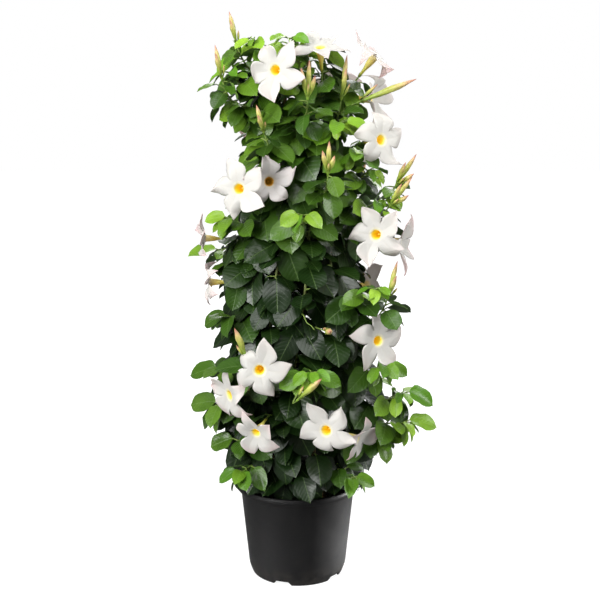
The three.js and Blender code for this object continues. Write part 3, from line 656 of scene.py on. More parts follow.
def draw(n):
    """A repeatable draw from 0 to 1 for a whole number."""
    x = math.sin(n * 12.9898 + 4.137) * 43758.5453
    return x - math.floor(x)


def tilted(flat, angle):
    """A level unit vector turned up by an angle in degrees."""
    return flat * math.cos(math.radians(angle)) + UP * math.sin(math.radians(angle))


def facing(right, above):
    """A unit vector so many degrees right of the front and above the horizon."""
    return tilted(polar(right - 90, 1, 0), above)


def levelled(vector):
    return Vector((vector.x, vector.y, 0)).normalized()


def stem_point(vine, z):
    sway = SWAY * math.sin(z / 31 + vine * 1.7) if z > TWIST_FROM else 0
    azimuth = vine * 360 / VINES + TWIST_PER_MM * max(0, z - TWIST_FROM)
    return polar(azimuth, on_line(STEM_DISTANCE, z) + sway, z) * MM


def bezier(start, bend, end, steps):
    shares = [i / steps for i in range(steps + 1)]
    return [start * (1 - t) ** 2 + bend * (2 * t * (1 - t)) + end * t * t for t in shares]


def spaced(points, steps):
    """So many even steps along a line through points."""
    marks = [0]
    for a, b in zip(points, points[1:]):
        marks.append(marks[-1] + (b - a).length)
    made, k = [points[0]], 0
    for i in range(1, steps):
        goal = marks[-1] * i / steps
        while marks[k + 1] < goal:
            k += 1
        made.append(points[k].lerp(points[k + 1], (goal - marks[k]) / (marks[k + 1] - marks[k])))
    return made + [points[-1]]


solids = [bmesh.new() for _ in range(VINES)]
for vine, solid in enumerate(solids):
    solid.from_mesh(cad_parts[f"vine_{vine + 1:02d}"].data)
    bmesh.ops.remove_doubles(solid, verts=solid.verts, dist=1e-6)
skins = [BVHTree.FromBMesh(solid) for solid in solids]
tops = [STEM_TOPS[vine % 2] - TOP_SPREAD * draw(700 + vine) for vine in range(VINES)]


def branch_from(start, tip, way, steps=BRANCH_STEPS):
    return bezier(start, tip - way * (0.5 * (tip - start).length), tip, steps)


def misfit(vine, z, tip, way, joints):
    """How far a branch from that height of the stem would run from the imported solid's branches."""
    bones = spaced(branch_from(stem_point(vine, z), tip, way, 24), joints)
    spots = [a.lerp(b, share) for a, b in zip(bones, bones[1:]) for share in (0.3, 0.6, 0.9)]
    depth = 0.5 * BRANCH_RADIUS * MM
    return sum((skins[vine].find_nearest(spot)[3] - depth) ** 2 for spot in spots[1:-1])


def find_branch(tip, way, joints):
    """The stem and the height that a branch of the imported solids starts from."""
    near = [
        (misfit(vine, z, tip, way, joints), vine, z)
        for vine in range(VINES)
        for z in range(BRANCH_LOWEST, int(tops[vine]), 4)
        if (stem_point(vine, z) - tip).length < BRANCH_REACH * MM
    ]
    _, vine, z = min(near)
    _, z = min((misfit(vine, z + d / 4, tip, way, joints), z + d / 4) for d in range(-16, 17))
    return vine, z


def find_leaves(solid):
    """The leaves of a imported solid. A blade's rib ends where 7 edges meet above and 6 below."""
    overs, unders = ([v for v in solid.verts if len(v.link_edges) == n] for n in (7, 6))
    for over in overs:
        round_it = {edge.other_vert(over) for edge in over.link_edges}
        for under in unders:
            if abs((over.co - under.co).length - LEAF_THICKNESS * MM) > 3e-6:
                continue
            shared = round_it & {edge.other_vert(under) for edge in under.link_edges}
            if len(shared) == 1:
                normal = (over.co - under.co).normalized()
                tip = shared.pop().co
                reach = tip - (over.co + under.co) / 2
                flat = reach - normal * reach.dot(normal)
                length = flat.length / (1 - LEAF_RIB_AT)
                axis = flat.normalized()
                yield tip - axis * length + normal * (LEAF_ARCH * length), axis, normal, length


def petiole_of(axis):
    """The way a leaf's petiole leads to it, flatter where the leaf hangs."""
    droop = math.degrees(math.asin(-axis.z))
    return tilted(levelled(axis), PETIOLE_RISE - 0.6 * max(0, droop))


# The blade of one leaf, flat and square for now: each point carries how far along it is, how far
# across, and whether it is on the upper side (1), the underside (-1) or the edge (0).
BLADE_OUTLINE = [
    (0, 0.1), (0.035, 0.45), (0.1, 0.77), (0.22, 0.97), (0.38, 1.05), (0.56, 1.04), (0.71, 0.93),
    (0.83, 0.71), (0.91, 0.42), (0.95, 0.17), (1, 0),
]
BLADE_COLUMNS = (-1, -0.5, 0, 0.5, 1)
blade = bmesh.new()
place = blade.verts.layers.float_vector.new("blade")
sheets = []
for upper in (1, -1):
    sheet = []
    for row, (along, width) in enumerate(BLADE_OUTLINE):
        line = []
        for i, column in enumerate(BLADE_COLUMNS if width else (0,)):
            on_edge = abs(column) == 1 or not width
            if on_edge and sheets:
                line.append(sheets[0][row][i])
                continue
            spot = Vector((along, column * width, 0 if on_edge else upper))
            line.append(blade.verts.new((spot.x * MM, spot.y * MM, spot.z * 1e-4)))
            line[-1][place] = spot
        sheet.append(line)
    for low, high in zip(sheet, sheet[1:]):
        add_strip(blade, low, high, flip=upper < 0)
    sheets.append(sheet)
blade.faces.new(sheets[0][0] + sheets[1][0][-2:0:-1]).smooth = True
bmesh.ops.recalc_face_normals(blade, faces=blade.faces)
for edge in blade.edges:
    spots = [vert[place] for vert in edge.verts]
    edge.smooth = any(spot.z for spot in spots) and any(spot.x for spot in spots)
leaf_blade = new_object("leaf_blade", mesh_of(blade, "leaf_blade"))

# A climbing stem with its leaves: rods along the chains of edges, and a blade at each loose point,
# bent to the leaf's own fold, arch, twist and wave.
vine_tree, (vine, sides, blade, thickness, stem_finish, leaf_finish), end = new_grower(
    "stem_with_leaves", Sides="Int", Blade="Object", Blade_Thickness="Float",
    Stem_Finish="Material", Leaf_Finish="Material",
)
long, half, fold, arch, wave, phase, blunt, twist = (
    named(vine_tree, name)
    for name in ("long", "half", "fold", "arch", "wave", "phase", "blunt", "twist")
)
spot, base, axis, side, normal = (
    named(vine_tree, name, "FLOAT_VECTOR") for name in ("blade", "base", "axis", "side", "normal")
)
template = add_node("GeometryNodeObjectInfo", {"Object": blade}, output="Geometry")
blades = add_node(
    "GeometryNodeInstanceOnPoints",
    {"Points": vine, "Selection": above(long, 0.0), "Instance": template},
)
blades = add_node("GeometryNodeRealizeInstances", {0: blades})
along, across, upper = spot.split()
across = across * ((along - 0.45) * blunt + 1.0)
square = across * across
waves = (along * 11.0 + across * 1.4 + phase).calc("SINE")
lift = (across.calc("ABSOLUTE") - square * 0.5) * fold + square * waves * wave
lift = (lift + along * across * twist) * half - along * along * arch * long
lift = lift + upper * 0.5 * thickness
bent = base + axis * (along * long) + side * (across * half) + normal * lift
blades = add_node("GeometryNodeSetPosition", {"Geometry": blades, "Position": bent})
rods = finished(add_rods(vine, sides), stem_finish)
feed(end, {0: join(rods, finished(blades, leaf_finish))})

# The veins of a leaf or a petal: a rib down the middle, and pairs that leave it and sweep forward.
veins, (along, across, pairs, sweep, width, rib), end = new_group(
    "veins",
    "ShaderNodeTree",
    [(label, "Float") for label in ("Along", "Across", "Pairs", "Sweep", "Width", "Rib")],
    [(label, "Float") for label in ("Side Veins", "Rib", "Quilting")],
)


def ridge(distance, width):
    """A soft ridge of a given width: 1 where the distance is 0."""
    near = distance / width
    return (near * near * -1.0).calc("EXPONENT")


aside = across.calc("ABSOLUTE")
step = ((along - aside.calc("POWER", 1.2) * sweep) * pairs).calc("FRACT")
off = (step - 0.5).calc("ABSOLUTE") * 2.0 - 1.0
feed(end, {
    "Side Veins": ridge(off, width) * (aside * -0.75 + 1.0),
    "Rib": ridge(aside, rib),
    "Quilting": (step * math.pi).calc("SINE"),
})

leaf_skin, tree, shader = new_finish(
    "mandevilla_leaf", Specular_IOR_Level=0.26, Coat_Weight=0.19, Coat_Roughness=0.13
)
along, across, upper = marked(tree, "blade", "Vector").split()
lines = use_group(veins, along, across, 7.0, 0.34, 0.13, 0.035)
# The tint mixes darker to lighter greens: for leaves, chance together with painted light and shade.
tint = marked(tree, "tint")
old = mix_colours(tint, (0.006, 0.018, 0.003), (0.052, 0.128, 0.014))
young = mix_colours(tint, (0.095, 0.25, 0.014), (0.27, 0.46, 0.035))
tints = (0.72, 0.76, 0.7), (1.2, 1.16, 1.1)
patchy = use_group(mottle, object_point(tree), 55.0, 3.0, 1.6, *tints)
green = mix_colours(marked(tree, "age"), old, young)
green = mix_colours(1.0, green, patchy["Color"], "MULTIPLY")
vein_share = lines["Side Veins"] * 0.035 + lines["Rib"] * 0.2
green = mix_colours(vein_share, green, (0.20, 0.34, 0.09))
under = between(upper, 0.0, -0.2)
relief = lines["Quilting"] * 0.5 - lines["Side Veins"] * 0.6 - lines["Rib"]
feed(shader, {
    "Base Color": mix_colours(under, green, mix_colours(0.4, green, (0.13, 0.22, 0.085))),
    "Roughness": patchy["Height"] * 0.2 + 0.26 + under * 0.25,
    "Normal": bumpy(relief + patchy["Height"] * 1.5, 0.5, 0.0005),
})

stem_skin, tree, shader = new_finish("mandevilla_stem", Specular_IOR_Level=0.4)
fibres = along_grain(tree, 4.0, 1.0)
wood = use_group(mottle, fibres, 90.0, 5.0, 2.4, (0.055, 0.036, 0.018), (0.15, 0.10, 0.05))
fresh = use_group(mottle, fibres, 40.0, 3.0, 1.6, (0.10, 0.19, 0.028), (0.24, 0.34, 0.07))
feed(shader, {
    "Base Color": mix_colours(marked(tree, "age"), wood["Color"], fresh["Color"]),
    "Roughness": wood["Height"] * 0.2 + 0.45,
    "Normal": bumpy(wood["Height"], 0.4, 0.0003),
})

# Painted shade on the leaves at the front, near the middle: where, how far round it and how much
# darker.
PAINTED_SHADE_AT = Vector((0.0, -0.08, 0.49))
PAINTED_SHADE_REACH = 0.11
PAINTED_SHADE_DEPTH = 0.7


def leaf_marks(base, axis, normal, length, age, seed):
    """What the vine tree and the leaf's skin need to know of one leaf."""
    luck = random.Random(seed)
    high = base.z / 0.8
    # Painted light and shade: greens lighter high up and far out, darker low down and in the front
    # patch.
    lit = 2.1 * high - 0.65 + max(0, base.to_2d().length - 0.085) * 15
    lit -= PAINTED_SHADE_DEPTH * math.exp(-(((base - PAINTED_SHADE_AT).length / PAINTED_SHADE_REACH) ** 2))
    return {
        "base": base,
        "axis": axis,
        "side": normal.cross(axis),
        "normal": normal,
        "long": length,
        "half": length * LEAF_WIDTH_SHARE / 2 * luck.uniform(0.94, 1.16) * (1 - 0.27 * age),
        "arch": LEAF_ARCH * luck.uniform(0.6, 1.3),
        "fold": LEAF_FOLD * luck.uniform(0.6, 2.4) + 0.3 * age,
        "wave": luck.uniform(0.03, 0.13),
        "phase": luck.uniform(0, 6.28),
        "blunt": luck.uniform(-0.45, 0.3),
        "twist": luck.uniform(-0.4, 0.4),
        "tint": luck.random() ** 1.2 * clamp(lit),
        "age": min(1, age + 2 * max(0, high - 0.62) * luck.random() ** 1.8),
    }


def leaf_patch(marks, root):
    """A leaf and its petiole as a few faces, to see whether it would cut through another."""
    base, axis, side, normal, long, half, arch, fold = list(marks.values())[:8]
    spots = [root, root + UP * 1e-4, base]
    for along, wide in ((0.03, 0.35), (0.35, 1), (0.7, 0.85), (0.97, 0.2)):
        for across in (-wide, 0, wide):
            lift = half * fold * abs(across) - long * arch * along**2
            flat = base + axis * (along * long) + side * (across * half)
            spots.append(flat + normal * lift)
    quads = [(i, i + 1, i + 4, i + 3) for row in (3, 6, 9) for i in (row, row + 1)]
    return BVHTree.FromPolygons(spots, [(0, 1, 2), *quads])


def rod_chain(points, thick_from, thick_to, age_from, age_to, swell=0.0):
    """A chain for a rod that tapers, greens along its way and swells at its nodes."""
    chain, run = [], 0
    for i, point in enumerate(points):
        share = i / (len(points) - 1)
        run += (point - points[max(0, i - 1)]).length / MM
        off = (run + INTERNODE / 2) % INTERNODE - INTERNODE / 2
        thick = thick_from + (thick_to - thick_from) * share + swell * math.exp(-((off / 3) ** 2))
        age = age_from + (age_to - age_from) * share
        chain.append((point, {"thick": thick * MM, "age": age}))
    return chain


chains, branch_lines = [], []
for vine in range(VINES):
    heights = [*range(STEM_FOOT, int(tops[vine]), STEM_STEP), tops[vine]]
    points = [stem_point(vine, z) for z in heights]
    chains.append([rod_chain(points, 2.5, 1.5, 0.0, 0.9, 0.5)])
    branch_lines.append([points])

# Where each branch ends, the way it points there, its joints in the solid and its leaves' youth.
branches = [
    (Vector(at) - facing(right, above) * (TUBE_LENGTH * size + GAP), right, above, 2, None)
    for at, right, above, _, size, _ in BLOOMS
]
branches += [(Vector(at), right, above, 2, None) for at, right, above, _, _ in SPRAYS]
branches += [(Vector(at), *way, pairs + 1, youth) for at, *way, pairs, youth in SHOOTS]
shoots = []
for tip, right, above, joints, youth in branches:
    tip, way = tip * MM, facing(right, above)
    vine, z = find_branch(tip, way, joints)
    line = branch_from(stem_point(vine, z), tip, way)
    chains[vine].append(rod_chain(line, BRANCH_RADIUS + 0.3, BRANCH_RADIUS - 0.15, 0.5, 1.0))
    branch_lines[vine].append(line)
    if youth is not None:
        shoots.append((line[-1], youth))


def nearest_stem(point):
    """The vine whose stem or branch comes nearest to a point, and the spot where it does."""
    _, vine, spot = min(
        ((spot - point).length, vine, spot)
        for vine in range(VINES)
        for line in branch_lines[vine]
        for spot in line
    )
    return vine, spot


# What a leaf must not meet, each with a tree of its faces, its middle and its reach. The lone
# buds and the twining tip come first, as thin diamonds.
taken = []
furled = []
for at, right, above, _, length in LONE_BUDS:
    tip, way = Vector(at) * MM, facing(right, above)
    vine, root = nearest_stem(tip)
    chains[vine].append(rod_chain(branch_from(root, tip, way, 8), 1.3, 0.9, 0.6, 1.0))
    furled.append((tip, way * (length * MM)))
bend, tip = (Vector(point) * MM for point in TWINING_TIP)
vine, root = nearest_stem(bend)
twine = [
    point + UP * (TWINING_WAVE * MM * math.sin(i * 1.3))
    for i, point in enumerate(bezier(root, bend, tip, 12))
]
chains[vine].append(rod_chain(twine, 1.1, 0.5, 0.8, 1.0))
furled.append((bend, tip - bend))
for foot, along in furled:
    beside = along.orthogonal().normalized() * (BUD_ROOM * MM)
    middle = foot + along / 2
    diamond = BVHTree.FromPolygons(
        [foot, middle + beside, foot + along, middle - beside], [(0, 1, 2, 3)]
    )
    taken.append((diamond, middle, along.length / 2))

for name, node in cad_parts.items():
    if not name.startswith("vine"):
        low, high = (Vector(corner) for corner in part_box(name))
        whole = bmesh.new()
        whole.from_mesh(node.data)
        taken.append((BVHTree.FromBMesh(whole), (low + high) / 2, (high - low).length / 2))
        whole.free()


def add_leaf(vine, root, base, marks, new=False):
    """Grows a leaf, unless it is a new one that would meet another. Says whether it did."""
    axis, size = marks["axis"], marks["long"]
    patch, middle, reach = leaf_patch(marks, root), base + axis * (size / 2), size * 0.7
    if new and any(
        (middle - other_middle).length < reach + other_reach and patch.overlap(other)
        for other, other_middle, other_reach in taken
    ):
        return False
    taken.append((patch, middle, reach))
    petiole = bezier(root, base - axis * (1.5 * MM), base + axis * (0.03 * size), 4)
    chains[vine].append(rod_chain(petiole, 1.15, 0.8, 0.8, 1.0))
    chains[vine].append([(base, marks)])
    return True


def age_at(root):
    """How young a leaf is, by how near its shoot's tip it grows."""
    near, youth = min(((tip - root).length, youth) for tip, youth in shoots)
    return youth * clamp(1.35 - near / (YOUNG_WITHIN * MM))


for vine, solid in enumerate(solids):
    for number, (base, axis, normal, length) in enumerate(find_leaves(solid)):
        root = base - petiole_of(axis) * (PETIOLE_LENGTH * MM)
        age = age_at(root)
        tip = base + axis * length
        outermost = min(tip.x - cad_box[0][0], cad_box[1][0] - tip.x) < OUTERMOST * MM
        size = length * (1 if outermost else 0.95 - 0.36 * age)
        marks = leaf_marks(base, axis, normal, size, age, 1000 * vine + number)
        add_leaf(vine, root, base, marks)
    solid.free()

# Old leaves that hang over the rim all round, each on a petiole from the nearest stem, and
# narrower than the others: how many, how often each is tried and how long a petiole may be.
RIM_LEAVES = 30
RIM_TRIES = 12
RIM_PETIOLE = 35
RIM_WIDTH_SHARE = 0.85
for number in range(RIM_LEAVES):
    luck = random.Random(400 + number)
    for _ in range(RIM_TRIES):
        azimuth = 360 / RIM_LEAVES * number
        out = polar(azimuth + luck.uniform(-7, 7), 1, 0)
        base = (out * luck.uniform(78, 92) + UP * luck.uniform(180, 200)) * MM
        goal = polar(
            azimuth + luck.uniform(-16, 16), luck.uniform(106, 116), luck.uniform(138, 162)
        ) * MM
        axis = (goal - base).normalized()
        normal = (out - axis * out.dot(axis)).normalized()
        vine, root = nearest_stem(base)
        marks = leaf_marks(base, axis, normal, (goal - base).length, 0.0, 500 + number)
        marks["half"] *= RIM_WIDTH_SHARE
        near = (root - base).length < RIM_PETIOLE * MM
        if near and add_leaf(vine, root, base, marks, new=True):
            break

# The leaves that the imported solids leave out: pairs all along the stems and their branches, each
# kept only where it meets no other leaf, flower, bud or cane, and where its tip reaches no more
# than LEAF_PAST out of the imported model's box.
LEAF_STEP = 10
LEAF_SIZES = (26, 40)
LEAF_LOWEST = 165
LEAF_TRIES = 8
LEAF_PAST = 4
box_low, box_high = cad_box
tried = 0
for vine, line in ((vine, line) for vine in range(VINES) for line in branch_lines[vine]):
    run = sum((b - a).length for a, b in zip(line, line[1:]))
    count = max(1, round(run / (LEAF_STEP * MM)))
    spots = spaced(line, count)
    for number, root in enumerate(spots):
        if root.z < LEAF_LOWEST * MM:
            continue
        ahead = (spots[min(count, number + 1)] - spots[max(0, number - 1)]).normalized()
        age = age_at(root)
        for turn in (90 * number, 90 * number + 180):
            seed = 90000 + 1000 * vine + tried
            tried += 1
            luck = random.Random(seed)
            for _ in range(LEAF_TRIES):
                turning = Matrix.Rotation(math.radians(turn + luck.uniform(-50, 50)), 3, ahead)
                out = turning @ ahead.orthogonal().normalized()
                flat = levelled((out + levelled(root) * luck.uniform(0, 0.9)).normalized())
                droop = luck.uniform(-5, 70)
                axis = tilted(flat, -droop).normalized()
                rolling = Matrix.Rotation(math.radians(luck.uniform(-35, 35)), 3, axis)
                normal = rolling @ tilted(flat, 90 - droop).normalized()
                large = luck.uniform(*LEAF_SIZES) + 8 * (1 - min(1, root.z / 0.7))
                size = large * (1 - 0.35 * age) * MM
                base = root + petiole_of(axis) * (luck.uniform(7, 13) * MM)
                tip, past = base + axis * size, LEAF_PAST * MM
                if any(x <= a - past or x >= b + past for a, x, b in zip(box_low, tip, box_high)):
                    continue
                marks = leaf_marks(base, axis, normal, size, age, seed)
                if add_leaf(vine, root, base, marks, new=True):
                    break

for vine in range(VINES):
    stem = new_object(f"climbing_stem_{vine + 1:02d}", chain_mesh("climbing_stem", chains[vine]))
    grow(
        stem, vine_tree, Sides=STEM_SIDES, Blade=leaf_blade, Blade_Thickness=BLADE_THICKNESS,
        Stem_Finish=stem_skin, Leaf_Finish=leaf_skin,
    )
    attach(stem, "root")
    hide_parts(f"vine_{vine + 1:02d}")
bpy.data.objects.remove(leaf_blade)

# -------------------- Blooms
# Each bloom is one funnel of petal tissue: a slender green-white tube that swells into a yellow
# throat and opens into five white lobes, set like a pinwheel with the point to one side. Narrow
# green sepals hold its foot, and the joined anthers stand in the throat.
LOBES = 5
REACH = 49
PETAL_THICKNESS = 0.5
LOBE_COLUMNS = 8
LOBE_ROWS = 10
# The inside of the tube: (height, radius), from its foot to the mouth.
TUBE = [
    (-41.6, 0.9), (-41, 1.5), (-35, 1.8), (-28, 2.2), (-23, 3.1), (-18, 4.3), (-13, 5.1),
    (-8, 5.7), (-4, 6.2), (-1.3, 6.8), (0, 7.8),
]
TUBE_END = 0.3
TUBE_RIB = 0.05
MOUTH = 7.8
# From the mouth to where the lobes part: shares of the way.
FLARE = (0.25, 0.6, 1)
NOTCH_REACH = 0.34
# How deep the crease down a lobe's middle is, and its share of the width.
CREASE_DEPTH = 0.9
CREASE_WIDTH = 0.16
# The two edges of a lobe, from the notches to its sharp point: degrees off its middle and share of
# the reach. One edge has a round shoulder, the other runs nearly straight out.
LEFT_EDGE = [
    (-36, 0.34), (-38, 0.45), (-37, 0.56), (-31, 0.66), (-20.5, 0.735), (-8.5, 0.795), (1.5, 0.855),
    (9, 0.925), (14, 1.0),
]
RIGHT_EDGE = [
    (36, 0.34), (35.5, 0.44), (33.5, 0.53), (30.5, 0.62), (27, 0.70), (23.5, 0.78), (20, 0.855),
    (16.8, 0.93), (14, 1.0),
]
POINT_AT = 14
ANTHERS_AT = -30
ANTHERS = [(0, 0), (2, 1.0), (12, 1.7), (17, 1.2), (20, 0)]
SPINDLE_SIDES = 10
SEPALS = 5
SEPAL_SIZE = (7.5, 2.6)
# The blooms that have faded to pink, and how far.
FADED = {3: 0.8, 8: 1.0, 9: 0.7, 11: 0.9, 14: 0.6, 15: 0.6, 17: 1.0, 19: 0.7}
BROWN_THROAT = 7


def colour_ramp(factor, stops):
    """The colour at a factor, from (position, colour) stops of which the first is at 0."""
    ramp = add_node("ShaderNodeValToRGB", {0: factor})
    elements = ramp.socket.node.color_ramp.elements
    elements.remove(elements[1])
    elements[0].color = (*stops[0][1], 1)
    for position, colour in stops[1:]:
        elements.new(position).color = (*colour, 1)
    return ramp


def petal_finish(name, stops, blush_from, edge_blush, painted_throat_light):
    """A petal's skin, coloured by how far out it is: foot, throat, mouth and lobe, with painted light
    glowing in the throat.
    """
    finish, tree, shader = new_finish(
        name, Roughness=0.55, Specular_IOR_Level=0.3, Subsurface_Weight=0.4,
        Subsurface_Scale=0.003, Subsurface_Radius=(1, 0.96, 0.92), Emission_Strength=painted_throat_light,
    )
    out, across, faded = marked(tree, "petal", "Vector").split()
    lines = use_group(veins, out, across, 34.0, 0.55, 0.3, 0.09)
    tinge = between(out, blush_from, 1.02) * (faded * 0.75 + edge_blush)
    colour = mix_colours(tinge, colour_ramp(out, stops), (0.74, 0.45, 0.46))
    relief = add_noise(object_point(tree), 420.0, 3.0) + lines["Side Veins"] * 0.35
    feed(shader, {
        "Base Color": mix_colours(lines["Rib"] * 0.16, colour, (0.56, 0.52, 0.44)),
        # Painted light: the throat glows yellow to brighten the shaded inside of the tube.
        "Emission Color": mix_colours(between(out, 0.5, 0.3), (0, 0, 0), (1.0, 0.62, 0.03)),
        "Normal": bumpy(relief - lines["Rib"] * 1.2, 0.35, 0.0004),
    })
    return finish


petal_face = petal_finish(
    "white_petal_face",
    [
        (0.0, (0.70, 0.34, 0.01)), (0.26, (0.90, 0.60, 0.02)), (0.37, (0.96, 0.76, 0.06)),
        (0.45, (0.93, 0.80, 0.22)), (0.50, (0.72, 0.67, 0.47)), (0.55, (0.55, 0.534, 0.5)),
    ],
    blush_from=0.7, edge_blush=0.08, painted_throat_light=0.16,
)
# The face of an older bloom, whose throat has turned brown. Its lobes are painted lighter than the
# others: painted light for the shade they sit in.
old_petal_face = petal_finish(
    "old_petal_face",
    [
        (0.0, (0.12, 0.035, 0.003)), (0.3, (0.40, 0.14, 0.008)), (0.44, (0.62, 0.28, 0.02)),
        (0.485, (0.70, 0.48, 0.16)), (0.52, (0.64, 0.60, 0.52)), (0.58, (0.62, 0.585, 0.565)),
    ],
    blush_from=0.7, edge_blush=0.15, painted_throat_light=0.04,
)
petal_back = petal_finish(
    "white_petal_back",
    [
        (0.0, (0.30, 0.42, 0.05)), (0.14, (0.50, 0.55, 0.10)), (0.3, (0.72, 0.66, 0.20)),
        (0.42, (0.80, 0.69, 0.40)), (0.54, (0.66, 0.57, 0.54)), (0.66, (0.60, 0.545, 0.54)),
    ],
    blush_from=0.55, edge_blush=0.3, painted_throat_light=0.0,
)
sepal_skin, tree, shader = new_finish("green_sepal", Roughness=0.5, Specular_IOR_Level=0.4)
greens = (0.11, 0.20, 0.02), (0.26, 0.34, 0.06)
sepal_green = use_group(mottle, object_point(tree), 160.0, 3.0, 2.0, *greens)
feed(shader, {
    "Base Color": sepal_green["Color"], "Normal": bumpy(sepal_green["Height"], 0.3, 0.0002),
})


def crease(across):
    return CREASE_DEPTH * math.exp(-((across / CREASE_WIDTH) ** 2))


def lobe_point(luck, lean, lobe, along, across):
    """A point of a lobe: along from the notches (0) to the point (1), across from -1 to 1."""
    spot = along * (len(LEFT_EDGE) - 1)
    k = min(len(LEFT_EDGE) - 2, int(spot))
    left, right = (
        Vector(edge[k]).lerp(Vector(edge[k + 1]), spot - k) for edge in (LEFT_EDGE, RIGHT_EDGE)
    )
    at = left.lerp(right, (across + 1) / 2)
    middle = POINT_AT * along**1.4
    free = min(1, along * 1.8)
    fold = luck["fold"][lobe] * free
    radius = at.y * REACH * (1 + (luck["long"][lobe] - 1) * along)
    wide = radius * math.radians(at.x - middle)
    out = radius - NOTCH_REACH * REACH
    bend = luck["bend"][lobe] * out / (0.5 * REACH)
    radius = NOTCH_REACH * REACH + out * math.cos(bend)
    ruffle = luck["ruffle"] * math.sin(8 * along + luck["phase"] + lobe * 1.9)
    rise = lean * (radius - MOUTH) + abs(wide) * math.sin(fold) - crease(across) * (1 - along)
    rise -= luck["tip"][lobe] * max(0, along - 0.55) ** 2
    rise -= (out * math.sin(bend) + wide * math.sin(luck["twist"][lobe])) * free
    rise += ruffle * across * across * free
    return polar(72 * lobe + middle + (at.x - middle) * math.cos(fold), radius, rise)


def bloom_mesh(lean, seed, faded):
    """The petals of a bloom as one sheet, with their luck drawn for each lobe."""
    dice = random.Random(seed)
    luck = {
        "bend": [math.radians(dice.choice((-6, 4, 10, 18, 28, 46))) for _ in range(LOBES)],
        "fold": [math.radians(dice.choice((-46, -24, -10, 8, 18, 30))) for _ in range(LOBES)],
        "tip": [dice.uniform(-12, 30) for _ in range(LOBES)],
        "twist": [math.radians(dice.uniform(6, 20)) for _ in range(LOBES)],
        "long": [dice.uniform(0.92, 1.04) for _ in range(LOBES)],
        "ruffle": dice.uniform(0.6, 1.5),
        "phase": dice.uniform(0, 6.28),
    }
    shade = max(faded, 0.3 * dice.random())
    skin = bmesh.new()
    mark = skin.verts.layers.float_vector.new("petal")

    def add_vert(point, out, across):
        vert = skin.verts.new(point)
        vert[mark] = Vector((out, across, shade))
        return vert

    # Each ring: radius, height, how far out, how high its ribs are and how deep its creases.
    rings = [
        (radius, z, 0.5 * row / (len(TUBE) - 1), TUBE_RIB * min(1, row / 5), 0)
        for row, (z, radius) in enumerate(TUBE)
    ]
    for share in FLARE:
        wider = (NOTCH_REACH * REACH - MOUTH) * share
        rings.append((MOUTH + wider, lean * wider, 0.5 + 0.12 * share, 0, share))
    loops = [[add_vert(UP * (TUBE[0][0] - TUBE_END), 0, 1.0)]]
    for radius, z, out, rib, dent in rings:
        loops.append([])
        for i in range(LOBES * LOBE_COLUMNS):
            across = 2 * (i % LOBE_COLUMNS) / LOBE_COLUMNS - 1
            ribbed = radius * (1 if across else 1 + rib)
            spot = polar(-36 + 72 * i / LOBE_COLUMNS, ribbed, z - dent * crease(across))
            loops[-1].append(add_vert(spot, out, across if dent else 1.0))
    for low, high in zip(loops, loops[1:]):
        add_strip(skin, low + low[:1], high + high[:1])
    rim = loops[-1] + loops[-1][:1]
    for lobe in range(LOBES):
        line = rim[lobe * LOBE_COLUMNS:][:LOBE_COLUMNS + 1]
        for row in range(1, LOBE_ROWS + 1):
            along = row / LOBE_ROWS
            lanes = [2 * i / LOBE_COLUMNS - 1 for i in range(LOBE_COLUMNS + 1)]
            lanes = lanes if along < 1 else [0]
            spots = [lobe_point(luck, lean, lobe, along, across) for across in lanes]
            last, out = line, 0.62 + 0.38 * along
            line = [add_vert(spot, out, across) for spot, across in zip(spots, lanes)]
            add_strip(skin, last, line)
    bmesh.ops.recalc_face_normals(skin, faces=skin.faces)
    outermost = max(skin.faces, key=lambda face: face.calc_center_median().to_2d().length)
    if outermost.normal.z < 0:
        bmesh.ops.reverse_faces(skin, faces=skin.faces)
    skin.transform(Matrix.Scale(MM, 4))
    return mesh_of(skin, "petals")


def add_spindle(shell, mark, start, way, profile, sides, twist=0.0, ridges=0.0, out=(0, 1)):
    """A closed spindle along a direction, through (distance, radius) steps."""
    beside = way.orthogonal().normalized()
    round_it = way.cross(beside)
    loops = []
    for step, (distance, radius) in enumerate(profile):
        share = step / (len(profile) - 1)
        where = out[0] + (out[1] - out[0]) * share
        loop = []
        for i in range(sides if radius else 1):
            angle = 2 * math.pi * i / sides + twist * share
            bump = 1 + ridges * math.cos(LOBES * (angle - 2 * twist * share))
            aside = (beside * math.cos(angle) + round_it * math.sin(angle)) * radius * bump
            loop.append(shell.verts.new(start + way * distance + aside))
            loop[-1][mark] = Vector((where, math.sin(angle), 0.5))
        loops.append(loop)
    add_skin(shell, loops)


# A sepal or bract: how far along, the share of its width there and its colour.
SCALE_SHAPE = [(0, 0.75, 0.1), (0.35, 1, 0.3), (0.7, 0.6, 0.5), (1, 0, 0.7)]
SCALE_THICKNESS = 0.5
SCALE_CURL = 0.9


def add_scale(shell, mark, root, out, tip_way, length, width, slot):
    """A small pointed sepal or bract: a thin closed leaf that stands on its root, facing out."""
    side = tip_way.cross(out).normalized() * (width / 2)
    loops = []
    for along, wide, shade in SCALE_SHAPE:
        middle = root + tip_way * (length * along) + out * (SCALE_CURL * along * along)
        thick = out * (SCALE_THICKNESS * (1 - along))
        ring = [middle - side * wide, middle + thick, middle + side * wide, middle - thick * 0.2]
        loops.append([shell.verts.new(point) for point in (ring if wide else ring[:1])])
        for vert in loops[-1]:
            vert[mark] = Vector((shade, 0, 0.5))
    for face in add_skin(shell, loops):
        face.material_index = slot


